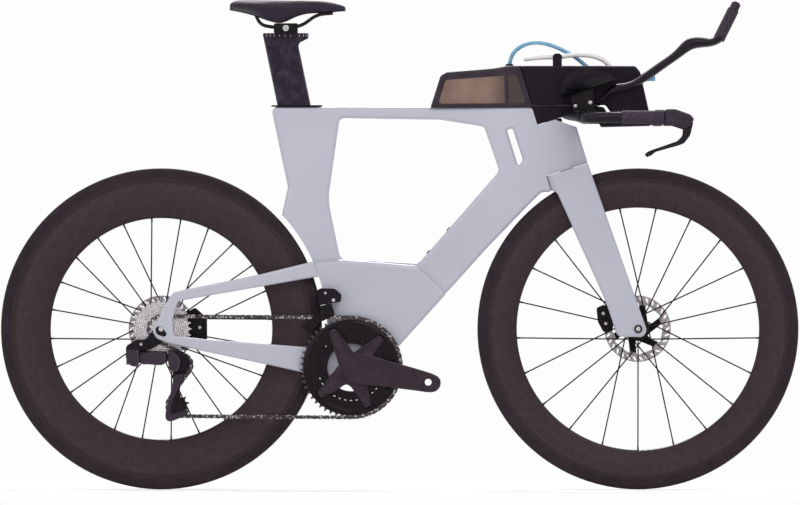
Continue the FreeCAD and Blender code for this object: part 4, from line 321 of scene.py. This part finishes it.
spider_edge = [(-0.1464, 0.3393), (-0.1321, 0.3377), (-0.122, 0.3124), (-0.1127, 0.2913), (-0.0984, 0.284),
               (-0.0836, 0.2871), (-0.0647, 0.3006), (-0.0432, 0.3196), (-0.0365, 0.3132), (-0.0478, 0.2945),
               (-0.0584, 0.2808), (-0.0457, 0.2703), (-0.0415, 0.2471), (-0.0542, 0.2219), (-0.0773, 0.2134),
               (-0.0685, 0.1966), (-0.0605, 0.1823), (-0.0731, 0.1785), (-0.0887, 0.1997), (-0.1026, 0.2172),
               (-0.1142, 0.2227), (-0.1283, 0.2109), (-0.1468, 0.2004), (-0.1632, 0.2021), (-0.1607, 0.2143),
               (-0.1441, 0.2277), (-0.13, 0.2482), (-0.1249, 0.2692), (-0.13, 0.2892), (-0.1401, 0.3124)]
arm_edge = [(-0.119, 0.28), (-0.1026, 0.2863), (-0.0836, 0.288), (-0.0605, 0.2838), (-0.0415, 0.2766),
            (-0.0047, 0.2661), (0.0322, 0.2555), (0.0659, 0.2454), (0.0857, 0.2358), (0.0869, 0.2168),
            (0.0722, 0.2025), (0.0322, 0.2086), (-0.0047, 0.2128), (-0.0415, 0.2181), (-0.0784, 0.2195),
            (-0.1047, 0.224), (-0.1194, 0.2379), (-0.1228, 0.2598)]
eye_x, eye_z, eye_radius = 0.0599, 0.2261, 0.0105
pedal_eye = [(eye_x + eye_radius * math.cos(turn), eye_z + eye_radius * math.sin(turn))
             for turn in [index * math.pi / 6 for index in range(12)]]
shell_voxel = 0.0011
low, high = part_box("crank_arms")
spider_layer = ([spider_edge], low[1] + 0.012, 0.008)
arm_layer = ([arm_edge, pedal_eye], low[1] + 0.0065, 0.0085)
gather("crank_shell", [moulded([spider_layer, arm_layer], shell_voxel, rounds=16)], crank_skin,
       "cranks")

# Chainrings: aluminium plates, machined, anodised black and polished, and bolted to the spider's arms. The teeth
# are paler, where the chain has worn them bare.
ring_skin, tree, shader, place = mottled("chainring_aluminium", "#151114", "#272024", 300.0, (0.16, 0.3), Metallic=0.85)
low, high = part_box("chainrings")
axle = Vector(((low[0] + high[0]) / 2, low[1], (low[2] + high[2]) / 2))
tooth_root, tooth_tip = 0.1, 0.102
worn = add(tree, "MapRange", {"Value": reach_from(tree, place, axle.x, axle.z), "From Min": tooth_root,
                              "From Max": tooth_tip})
toned = add(tree, "Mix", {"Factor": worn.outputs["Result"], "A": tree.nodes["Color Ramp"].outputs["Color"],
                          "B": linear("#4c4548")}, data_type="RGBA")
tree.links.new(toned.outputs["Result"], shader.inputs["Base Color"])
dress(ring_skin, "chainrings")
# A turned face ring is spun from its section, pairs of radius and rise in front of the outer ring's face.
ring_section = [(0.0705, -0.0002), (0.0712, 0.0014), (0.074, 0.0021), (0.081, 0.0009), (0.089, 0.0016),
                (0.0925, 0.0031), (0.0962, 0.0029), (0.0988, 0.0012), (0.0993, -0.0002)]
section = bpy.data.meshes.new("ring_section")
section.from_pydata([(axle.x + radius, axle.y - rise, axle.z) for radius, rise in ring_section],
                    [(index, index + 1) for index in range(len(ring_section) - 1)], [])
face = bpy.data.objects.new("ring_section", section)
bpy.context.collection.objects.link(face)
bpy.ops.object.select_all(action="DESELECT")
face.select_set(True)
bpy.context.view_layer.objects.active = face
bpy.ops.object.mode_set(mode="EDIT")
bpy.ops.mesh.select_all(action="SELECT")
bpy.ops.mesh.spin(steps=180, angle=2 * math.pi, center=axle, axis=(0, 1, 0))
bpy.ops.mesh.select_all(action="SELECT")
bpy.ops.mesh.remove_doubles(threshold=0.00001)
bpy.ops.mesh.normals_make_consistent(inside=False)
bpy.ops.object.mode_set(mode="OBJECT")
gather("chainring_face", [face], ring_skin, "cranks")

# Cassette: nickel-plated steel sprockets. The shade that each step of the cone casts on the one behind it is painted
# as dark rings 4 mm apart, and the shade in the lightening holes as dark flecks.
plated, tree, shader, place = mottled("nickel_plated_steel", "#a8a3a8", "#f4f0f3", 420.0, (0.18, 0.36), ends=(0.4, 0.6),
                                      Metallic=1.0)
low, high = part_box("cassette")
moved = add(tree, "Mapping", {"Vector": place, "Location": (-(low[0] + high[0]) / 2, 0, -(low[2] + high[2]) / 2)})
steps = add(tree, "TexWave", {"Vector": moved.outputs["Vector"], "Scale": 78.5, "Distortion": 2.0,
                              "Detail Scale": 60.0}, wave_type="RINGS", rings_direction="Y")
painted_step_shade = add(tree, "MapRange", {"Value": steps.outputs["Fac"], "From Min": 0.1, "From Max": 0.6, "To Min": 0.45})
toned = add(tree, "Mix", {"Factor": painted_step_shade.outputs["Result"], "A": linear("#4a4449"),
                          "B": tree.nodes["Color Ramp"].outputs["Color"]}, data_type="RGBA")
tree.links.new(toned.outputs["Result"], shader.inputs["Base Color"])
dress(plated, "cassette")

# Chain: oiled steel plates on pins, one pin every 12.7 mm, flecked with painted glints. The loop is cut into runs
# between the wheels, and what is left rides on the frame; the runs are neither bent nor attached to a body.
chain_steel, tree, shader, place = mottled("chain_steel", "#383235", "#565053", 160.0, (0.28, 0.45), Metallic=1.0)
# Painted glints: bright spots at random cells stand in for highlights on the pins.
glint_cells = add(tree, "TexVoronoi", {"Vector": place, "Scale": 150.0, "Randomness": 0.6})
painted_glint = add(tree, "MapRange", {"Value": glint_cells.outputs["Distance"], "From Min": 0.25, "From Max": 0.45, "To Min": 1.0,
                               "To Max": 0.0})
toned = add(tree, "Mix", {"Factor": painted_glint.outputs["Result"], "A": tree.nodes["Color Ramp"].outputs["Color"],
                          "B": linear("#aaa5a8")}, data_type="RGBA")
tree.links.new(toned.outputs["Result"], shader.inputs["Base Color"])
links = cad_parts["chain"]
low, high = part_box("front_derailleur_cage")
upper_level = 0.362
gate = ((low[0] + high[0]) / 2, upper_level)
before_gate = (-0.44, 0.363)
ring_top = (-0.112, upper_level)
ring_bottom = (-0.105, 0.152)
lower_middle = (-0.28, 0.153)
under_tension = (-0.46, 0.1545)
cog_exit = (-0.513, 0.314)
exit_middle = (-0.4813, 0.2986)
guide_entry = (-0.4496, 0.2831)
# Each run: its two ends in side view, half its height, the bodies it goes from and to, and the ends of the bend.
# The lower front run takes the part of the link's turn that carries its end as far as the knuckle goes.
runs = [("chain_upper_run", before_gate, gate, 0.012, "frame", "front_cage", before_gate, (low[0], upper_level)),
        ("chain_ring_entry", gate, ring_top, 0.012, "front_cage", "frame", gate, ring_top),
        ("chain_cog_exit", cog_exit, exit_middle, 0.008, "frame", "shift_link", cog_exit, exit_middle),
        ("chain_guide_entry", exit_middle, guide_entry, 0.008, "shift_link", "shift_knuckle", exit_middle, guide_entry),
        ("chain_lower_front", ring_bottom, lower_middle, 0.012, "frame", "shift_link", ring_bottom, (-0.613, 0.152)),
        ("chain_lower_back", lower_middle, under_tension, 0.012, "shift_knuckle", "chain_cage", lower_middle,
         under_tension),
        ("chain_cage_loop", (-0.459, 0.295), (-0.4667, 0.145), 0.04, "shift_knuckle", "chain_cage", (-0.459, 0.25),
         (-0.459, 0.19))]
weld = 0.000001
cut_links = {"chain_loop": []}
for face in links.data.polygons:
    middle = links.matrix_world @ face.center
    owner = "chain_loop"
    for name, start, end, half_height, *bend in runs:
        way = (end[0] - start[0], end[1] - start[1])
        off = (middle.x - start[0], middle.z - start[1])
        length = math.hypot(*way)
        along = (off[0] * way[0] + off[1] * way[1]) / length
        aside = abs(off[0] * way[1] - off[1] * way[0]) / length
        if 0 <= along <= length and aside < half_height:
            owner = name
            break
    cut_links.setdefault(owner, []).append([links.matrix_world @ links.data.vertices[index].co
                                            for index in face.vertices])
bends = {name: bend for name, start, end, half_height, *bend in runs}
for name, faces in cut_links.items():
    mesh = bpy.data.meshes.new(name)
    mesh.from_pydata([spot for face in faces for spot in face], [],
                     [range(3 * index, 3 * index + 3) for index in range(len(faces))])
    run = bpy.data.objects.new(name, mesh)
    bpy.context.collection.objects.link(run)
    bpy.ops.object.select_all(action="DESELECT")
    run.select_set(True)
    bpy.context.view_layer.objects.active = run
    bpy.ops.object.mode_set(mode="EDIT")
    bpy.ops.mesh.select_all(action="SELECT")
    bpy.ops.mesh.remove_doubles(threshold=weld)
    bpy.ops.object.mode_set(mode="OBJECT")
    gather(name, [run], chain_steel, None if name in bends else "frame")
    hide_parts("chain")
    if name in bends:
        body_from, body_to, start, end = bends[name]
        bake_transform(run)

# Derailleur bodies, pulleys, drink box, stem cowl, tank and base: glass-filled nylon, moulded with a spark-eroded
# grain that is drawn 1 mm wide so that it shows.
nylon, tree, shader, place = mottled("black_nylon", "#0b080c", "#161217", 14.0, (0.3, 0.46), Specular_IOR_Level=0.3,
                                     Specular_Tint=linear("#c9b4d0"))
spark = add(tree, "TexNoise", {"Vector": place, "Scale": 1000.0, "Detail": 2.0})
skin = add(tree, "Bump", {"Height": spark.outputs["Fac"], "Strength": 0.2, "Distance": 0.0003})
tree.links.new(skin.outputs["Normal"], shader.inputs["Normal"])
dress(nylon, "front_derailleur", "derailleur_body", "derailleur_knuckle", "guide_pulley", "tension_pulley", "tank_cap",
      "saddle_base", "stem_cowl", "drink_box", "seat_tube_seal")
hood_rubber, tree, shader, place = mottled("hood_rubber", "#221d23", "#342d36", 40.0, (0.42, 0.6),
                                           Specular_Tint=linear("#cdb9d2"))
ribs = add(tree, "TexVoronoi", {"Vector": place, "Scale": 500.0})
skin = add(tree, "Bump", {"Height": ribs.outputs["Distance"], "Strength": 0.3, "Distance": 0.0005})
tree.links.new(skin.outputs["Normal"], shader.inputs["Normal"])
dress(hood_rubber, "lever_hoods", "shifter_pods", "shift_button_right", "shift_button_left")

# Rear derailleur covers: glossy moulded shells over the two knuckles and the link, which lean with the slanted
# pivots, and a flat arm on the outer cage plate. Each is smoothed until its edges are as round as a pebble's.
gloss = mottled("glossy_black_nylon", "#1a141a", "#2c242b", 60.0, (0.1, 0.2), Specular_IOR_Level=0.6,
                Specular_Tint=linear("#d9c6dd"))[0]
pin_level = 0.2787
pin_lean = math.tan(math.radians(25))
pin_front = -0.088
body_edge = [(-0.5764, 0.2842), (-0.5721, 0.2962), (-0.5612, 0.3019), (-0.5502, 0.2977), (-0.5484, 0.2829),
             (-0.5479, 0.2697), (-0.5473, 0.2614), (-0.5574, 0.2581), (-0.5692, 0.2631), (-0.5745, 0.2745)]
link_edge = [(-0.545, 0.2872), (-0.528, 0.2893), (-0.51, 0.2904), (-0.4935, 0.2908), (-0.4912, 0.2785),
             (-0.4926, 0.2628), (-0.51, 0.2618), (-0.528, 0.264), (-0.545, 0.263)]
knuckle_edge = [(-0.485, 0.2926), (-0.4763, 0.2922), (-0.4635, 0.28), (-0.4605, 0.2697), (-0.466, 0.248),
                (-0.4782, 0.2488), (-0.4854, 0.2543), (-0.4858, 0.2724)]
cage_edge = [(-0.4719, 0.2446), (-0.453, 0.2446), (-0.4555, 0.2345), (-0.4627, 0.2187), (-0.4694, 0.204),
             (-0.4768, 0.1882), (-0.4824, 0.1722), (-0.482, 0.1574), (-0.4669, 0.1621), (-0.445, 0.1701),
             (-0.4424, 0.1599), (-0.4627, 0.1503), (-0.4837, 0.1418), (-0.4926, 0.1484), (-0.4926, 0.1618),
             (-0.4892, 0.1778), (-0.4833, 0.1985), (-0.478, 0.2202), (-0.4757, 0.2366)]
cover_voxel = 0.0006
cover_rounds = 14
for name, edge, proud, depth, body in (("derailleur_body_cover", body_edge, 0.0076, 0.0045, "frame"),
                                       ("derailleur_link_cover", link_edge, 0.005, 0.0034, "shift_link"),
                                       ("derailleur_knuckle_cover", knuckle_edge, 0.0076, 0.0045, "shift_knuckle")):
    shell = moulded([([edge], pin_front - proud, depth)], cover_voxel, cover_rounds, pin_lean, pin_level)
    gather(name, [shell], gloss, body)
low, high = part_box("derailleur_cage")
cage_arm = moulded([([cage_edge], low[1] + 0.0008, 0.004)], cover_voxel, cover_rounds)
gather("derailleur_cage_arm", [cage_arm], gloss, "chain_cage")

# Seatpost: pressed from chopped carbon chips some 18 mm long, so patches of slightly different black show
# under a satin clear coat.
post_carbon, tree, shader, place = mottled("chopped_carbon", "#1f1a25", "#37303c", 60.0, (0.3, 0.46),
                                           Specular_IOR_Level=0.35, Specular_Tint=linear("#c6b0cf"))
chips = add(tree, "TexVoronoi", {"Vector": place, "Scale": 55.0, "Randomness": 1.0})
tone = add(tree, "MapRange", {"Value": chips.outputs["Color"], "To Min": 0.55, "To Max": 1.5})
toned = add(tree, "Mix", {"Factor": 1.0, "A": tree.nodes["Color Ramp"].outputs["Color"], "B": tone.outputs["Result"]},
            data_type="RGBA", blend_type="MULTIPLY")
tree.links.new(toned.outputs["Result"], shader.inputs["Base Color"])
dress(post_carbon, "seatpost")
# Tick marks of the fore and aft scale, pale ink on the flat flanks of the post's head.
ink = mottled("pale_ink", "#b9b4bd", "#d4d0d7", 900.0, (0.5, 0.65))[0]
low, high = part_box("seatpost")
tick_level = 0.9555
tick_size = (0.0011, 0.0004, 0.0046)
ticks = []
for x in (-0.2807, -0.2727, -0.2647, -0.2529, -0.2416, -0.2298, -0.2112, -0.2024, -0.1952):
    for y in (low[1], high[1]):
        bpy.ops.mesh.primitive_cube_add(size=1, location=(x, y, tick_level), scale=tick_size)
        tick = bpy.context.object
        corner = tick.modifiers.new("corner", "BEVEL")
        corner.width = 0.00015
        bpy.ops.object.modifier_apply(modifier="corner")
        ticks.append(tick)
gather("seatpost_ticks", ticks, ink, "seat")

# Saddle: foam bonded to a nylon base under a thin cover, with a channel down the middle. The cover is blown up
# from the pressed shape, nowhere by more than a set swell.


def upholster(name, node, voxel, swell, material, body):
    """Soft copy of a node: a closed skin under pressure that may move at most swell from the pressed shape."""
    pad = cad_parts[node].copy()
    pad.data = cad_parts[node].data.copy()
    pad.name = name
    bpy.context.collection.objects.link(pad)
    pad.parent = None
    bpy.ops.object.select_all(action="DESELECT")
    bpy.context.view_layer.objects.active = pad
    pad.select_set(True)
    bpy.ops.object.mode_set(mode="EDIT")
    bpy.ops.mesh.select_all(action="SELECT")
    bpy.ops.mesh.remove_doubles(threshold=0.00001)
    bpy.ops.object.mode_set(mode="OBJECT")
    remesh = pad.modifiers.new("skin", "REMESH")
    remesh.mode = "VOXEL"
    remesh.voxel_size = voxel
    bpy.ops.object.modifier_apply(modifier="skin")
    rest = [vertex.co.copy() for vertex in pad.data.vertices]
    cloth = pad.modifiers.new("filling", "CLOTH")
    cloth.settings.use_pressure = True
    cloth.settings.uniform_pressure_force = 3.0
    cloth.settings.effector_weights.gravity = 0.0
    settling = 20
    for step in range(1, settling + 1):
        bpy.context.scene.frame_set(step)
    bpy.ops.object.modifier_apply(modifier="filling")
    bpy.context.scene.frame_set(1)
    for vertex, start in zip(pad.data.vertices, rest):
        shift = vertex.co - start
        if shift.length > swell:
            vertex.co = start + shift * (swell / shift.length)
    relax = pad.modifiers.new("relax", "SMOOTH")
    relax.factor = 0.5
    relax.iterations = 8
    bpy.ops.object.modifier_apply(modifier="relax")
    bpy.ops.object.shade_smooth()
    pad.data.materials.clear()
    pad.data.materials.append(material)
    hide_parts(node)
    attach(pad, body)


cover, tree, shader, place = mottled("saddle_cover", "#28232d", "#39333f", 240.0, (0.48, 0.62), ends=(0.4, 0.75),
                                     Specular_IOR_Level=0.35, Specular_Tint=linear("#c6b0cf"))
hide = add(tree, "TexVoronoi", {"Vector": place, "Scale": 650.0})
skin = add(tree, "Bump", {"Height": hide.outputs["Distance"], "Strength": 0.3, "Distance": 0.0004})
tree.links.new(skin.outputs["Normal"], shader.inputs["Normal"])
upholster("saddle_cushion", "saddle_pad", voxel=0.0025, swell=0.0015, material=cover, body="seat")

# Stem nose: a nylon block, moulded with round edges and screwed to the stem in the drink box's cut-out. It leaves
# a slit above and in front of it, through which light shows.
nose_edge = [(0.3923, 0.806), (0.4276, 0.806), (0.4314, 0.8018), (0.436, 0.7933), (0.4377, 0.783), (0.3923, 0.783)]
nose_half = 0.02
gather("stem_nose", [moulded([([nose_edge], nose_half, 2 * nose_half)], shell_voxel, rounds=4)], nylon,
       "steering")

# Base bar, extensions, arm cups and brake levers: moulded carbon with a satin clear coat. Its fibres show as
# a faint cloudy grain some 15 mm long.
satin_carbon = mottled("satin_carbon", "#0c090d", "#1b171d", 60.0, (0.3, 0.46), Coat_Weight=0.08,
                       Coat_Roughness=0.2, Specular_IOR_Level=0.3, Specular_Tint=linear("#cdb9d2"))[0]
dress(satin_carbon, "base_bar", "extensions", "arm_cups", "brake_lever_right", "brake_lever_left")

# Grips: black rubber tape with fine pores, pressed and cut into strips, then wound round the bars and glued.
# Its edges lie 12 mm apart and show as shallow ridges.
tape, tree, shader, place = mottled("grip_tape_rubber", "#261f27", "#4a414b", 300.0, (0.58, 0.74),
                                    Specular_Tint=linear("#cdb9d2"))
turns = add(tree, "TexWave", {"Vector": place, "Scale": 26.0, "Distortion": 1.2, "Detail": 1.0}, wave_profile="SAW")
pores = add(tree, "TexVoronoi", {"Vector": place, "Scale": 420.0})
ridge = add(tree, "Bump", {"Height": turns.outputs["Fac"], "Strength": 0.35, "Distance": 0.0012})
skin = add(tree, "Bump", {"Height": pores.outputs["Distance"], "Strength": 0.4, "Distance": 0.0006,
                          "Normal": ridge.outputs["Normal"]})
tree.links.new(skin.outputs["Normal"], shader.inputs["Normal"])
dress(tape, "grip_tape")

# Arm pads: thin foam cut to shape under a knitted cover, glued into the cups. The knit is drawn as dimples just
# over 1 mm wide, so that it shows.
foam, tree, shader, place = mottled("pad_foam", "#0b0a0c", "#1a181c", 90.0, (0.75, 0.9), Sheen_Weight=0.15)
weave = add(tree, "TexVoronoi", {"Vector": place, "Scale": 800.0})
skin = add(tree, "Bump", {"Height": weave.outputs["Distance"], "Strength": 0.5, "Distance": 0.0005})
tree.links.new(skin.outputs["Normal"], shader.inputs["Normal"])
upholster("arm_cushions", "arm_pads", voxel=0.0022, swell=0.001, material=foam, body="steering")

# Tank: a nylon shell, a little brown, with panes of smoky polycarbonate in its sides. The panes darken towards
# the front, where the shell behind them is full of wall.
shell_nylon, tree, shader, place = mottled("tank_nylon", "#2a2329", "#3b333a", 30.0, (0.3, 0.46),
                                           Specular_IOR_Level=0.4, Specular_Tint=linear("#cdb9d2"))
spark = add(tree, "TexNoise", {"Vector": place, "Scale": 1000.0, "Detail": 2.0})
skin = add(tree, "Bump", {"Height": spark.outputs["Fac"], "Strength": 0.2, "Distance": 0.0003})
tree.links.new(skin.outputs["Normal"], shader.inputs["Normal"])
dress(shell_nylon, "tank_shell")
smoke, tree, shader, place = mottled("smoky_polycarbonate", "#86665a", "#b99683", 12.0, (0.08, 0.18), IOR=1.58,
                                     Transmission_Weight=0.45)
low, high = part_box("tank_windows")
along = add(tree, "SeparateXYZ", {"Vector": place}).outputs["X"]
front = add(tree, "MapRange", {"Value": along, "From Min": low[0] + 0.6 * (high[0] - low[0]),
                                "From Max": low[0] + 0.82 * (high[0] - low[0])})
toned = add(tree, "Mix", {"Factor": front.outputs["Result"], "A": tree.nodes["Color Ramp"].outputs["Color"],
                          "B": linear("#452a22")}, data_type="RGBA")
tree.links.new(toned.outputs["Result"], shader.inputs["Base Color"])
dress(smoke, "tank_windows")

# Tubes on the box: a blue polyurethane feed hose from the tank's cap, and a whitish
# drinking tube held by a clip.


def pipe(name, node, route, radius, length, material, slot, exit_point, **facts):
    """Smooth tube along a spline through the route's points, as a mesh that stands in for the node, which it hides."""
    line = bpy.data.curves.new(name + "_line", "CURVE")
    line.dimensions = "3D"
    strand = line.splines.new("NURBS")
    strand.points.add(len(route) - 1)
    for point, spot in zip(strand.points, route):
        point.co = (*spot, 1)
    strand.order_u = 3
    strand.use_endpoint_u = True
    line.resolution_u = 12
    tube = bpy.data.objects.new(name, line)
    bpy.context.collection.objects.link(tube)
    bpy.context.view_layer.update()
    centre_line = bpy.data.meshes.new_from_object(tube)
    bpy.data.meshes.remove(centre_line)
    line.bevel_depth = radius
    line.bevel_resolution = 6
    line.use_fill_caps = True
    bpy.ops.object.select_all(action="DESELECT")
    bpy.context.view_layer.objects.active = tube
    tube.select_set(True)
    bpy.ops.object.convert(target="MESH")
    bpy.ops.object.shade_smooth_by_angle(angle=math.radians(50))
    tube.data.materials.clear()
    tube.data.materials.append(material)
    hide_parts(node)
    return tube


blue = mottled("blue_polyurethane", "#5f9fc6", "#86bedd", 60.0, (0.22, 0.36), Subsurface_Weight=0.1)[0]
hose_side = 0.006
hose_route = [(x, hose_side, z) for x, z in (
    (0.23137, 0.89524), (0.23474, 0.91461), (0.25116, 0.93061), (0.27222, 0.93988), (0.29748, 0.94114),
    (0.32696, 0.9323), (0.35223, 0.9205), (0.37539, 0.90661), (0.3975, 0.88723))]
hose = pipe("feed_tube", "feed_hose", hose_route, 0.00415, 0.204, blue, "blue_hose", hose_route[0], far_end="object",
            stiffness="medium", lay="loose")
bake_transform(hose)
clear = mottled("clear_tube", "#eeeaee", "#fbf9fb", 90.0, (0.1, 0.22), IOR=1.5, Subsurface_Weight=0.2)[0]
straw_side = -0.009
straw_route = [(x, straw_side, z) for x, z in (
    (0.26085, 0.90576), (0.29538, 0.9104), (0.3316, 0.90955), (0.36908, 0.91545), (0.40487, 0.91377),
    (0.43435, 0.9024), (0.44593, 0.88513))]
straw = pipe("drinking_tube", "drink_tube", straw_route, 0.005, 0.1955, clear, "clear_tube", straw_route[-1],
             far_end="bare", stiffness="stiff", lay="taut")
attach(straw, "steering")

# Filler valve: a light blue moulded stub in the box's front, sealed by an orange silicone ring that the stub's
# shoulder presses a little flat.
dress(blue, "filler_valve")
seal = mottled("orange_silicone", "#c8641e", "#e07d2c", 200.0, (0.4, 0.55))[0]
low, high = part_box("filler_valve")
bpy.ops.object.select_all(action="DESELECT")
bpy.ops.mesh.primitive_torus_add(major_segments=40, minor_segments=10, major_radius=0.0089, minor_radius=0.0014,
                                 location=(low[0] + 0.006, 0, (low[2] + high[2]) / 2), rotation=(0, math.pi / 2, 0))
bpy.ops.object.mode_set(mode="EDIT")
bpy.ops.mesh.select_all(action="SELECT")
pressed = 0.75
bpy.ops.transform.resize(value=(pressed, 1, 1), center_override=bpy.context.object.location)
bpy.ops.object.mode_set(mode="OBJECT")
gather("valve_ring", [bpy.context.object], seal, "steering")

# Stage: a pale floor and backdrop, broad lamps before the drive side and one behind that lays the shadow forwards,
# and a long lens square to the drive side.


def seen_rays(tree):
    """One for rays that come from the camera, off gloss or through glass, nought for light that falls on the bike."""
    rays = add(tree, "LightPath").outputs
    seen = add(tree, "Math", {0: rays["Is Camera Ray"], 1: rays["Is Glossy Ray"]}, operation="MAXIMUM")
    seen = add(tree, "Math", {0: seen.outputs["Value"], 1: rays["Is Transmission Ray"]}, operation="MAXIMUM")
    return seen.outputs["Value"]


paper_white = linear("#fdfdfd")
shadow_reach, paper_reach = 0.9, 2.2
paper_lift = 0.26
bpy.ops.object.select_all(action="DESELECT")
bpy.ops.mesh.primitive_plane_add(size=60, location=(0, 0, 0))
floor = bpy.context.object
floor.name = "floor"
paper, tree, shader, place = mottled("floor_paper", "#f1f1f1", "#f6f6f6", 5.0, (0.85, 0.95))
seen = seen_rays(tree)
away = add(tree, "VectorMath", {0: place}, operation="LENGTH")
fade = add(tree, "MapRange", {"Value": away.outputs["Value"], "From Min": shadow_reach, "From Max": paper_reach})
part = add(tree, "Math", {0: seen, 1: fade.outputs["Result"]}, operation="MULTIPLY")
glow = add(tree, "Emission", {"Color": paper_white, "Strength": 1.0})
lift = add(tree, "Math", {0: seen, 1: paper_lift}, operation="MULTIPLY")
sheen = add(tree, "Emission", {"Color": paper_white, "Strength": lift.outputs["Value"]})
near = add(tree, "AddShader", {0: shader.outputs["BSDF"], 1: sheen.outputs["Emission"]})
mixed = add(tree, "MixShader", {0: part.outputs["Value"], 1: near.outputs["Shader"], 2: glow.outputs["Emission"]})
tree.links.new(mixed.outputs["Shader"], tree.nodes["Material Output"].inputs["Surface"])
floor.data.materials.append(paper)
studio_level = 0.52
world = bpy.data.worlds.new("studio")
bpy.context.scene.world = world
world.use_nodes = True
tree = world.node_tree
back = tree.nodes["Background"]
level = add(tree, "MapRange", {"Value": seen_rays(tree), "To Min": studio_level, "To Max": 1.0})
tree.links.new(level.outputs["Result"], back.inputs["Strength"])
back.inputs["Color"].default_value = paper_white
aim_height = 0.4
for name, spot, size, power in (("key", (1.5, -3.5, 3.5), 3.0, 60), ("fill", (-2.8, -3.0, 2.2), 3.0, 30),
                                ("back", (0, 3.2, 4.2), 1.6, 110)):
    lamp_data = bpy.data.lights.new(name, "AREA")
    lamp_data.size = size
    lamp_data.energy = power
    lamp = bpy.data.objects.new(name, lamp_data)
    bpy.context.collection.objects.link(lamp)
    lamp.location = spot
    aim = Vector((0, 0, aim_height)) - Vector(spot)
    lamp.rotation_euler = aim.to_track_quat("-Z", "Y").to_euler()
lens_distance = 40.0
camera_data = bpy.data.cameras.new("camera")
camera = bpy.data.objects.new("camera", camera_data)
bpy.context.collection.objects.link(camera)
camera.location = (0.0006, -lens_distance, 0.4987)
camera.rotation_euler = (math.pi / 2, 0, 0)
camera_data.sensor_width = 36
camera_data.lens = 854.9
camera_data.clip_end = 200
bpy.context.scene.camera = camera
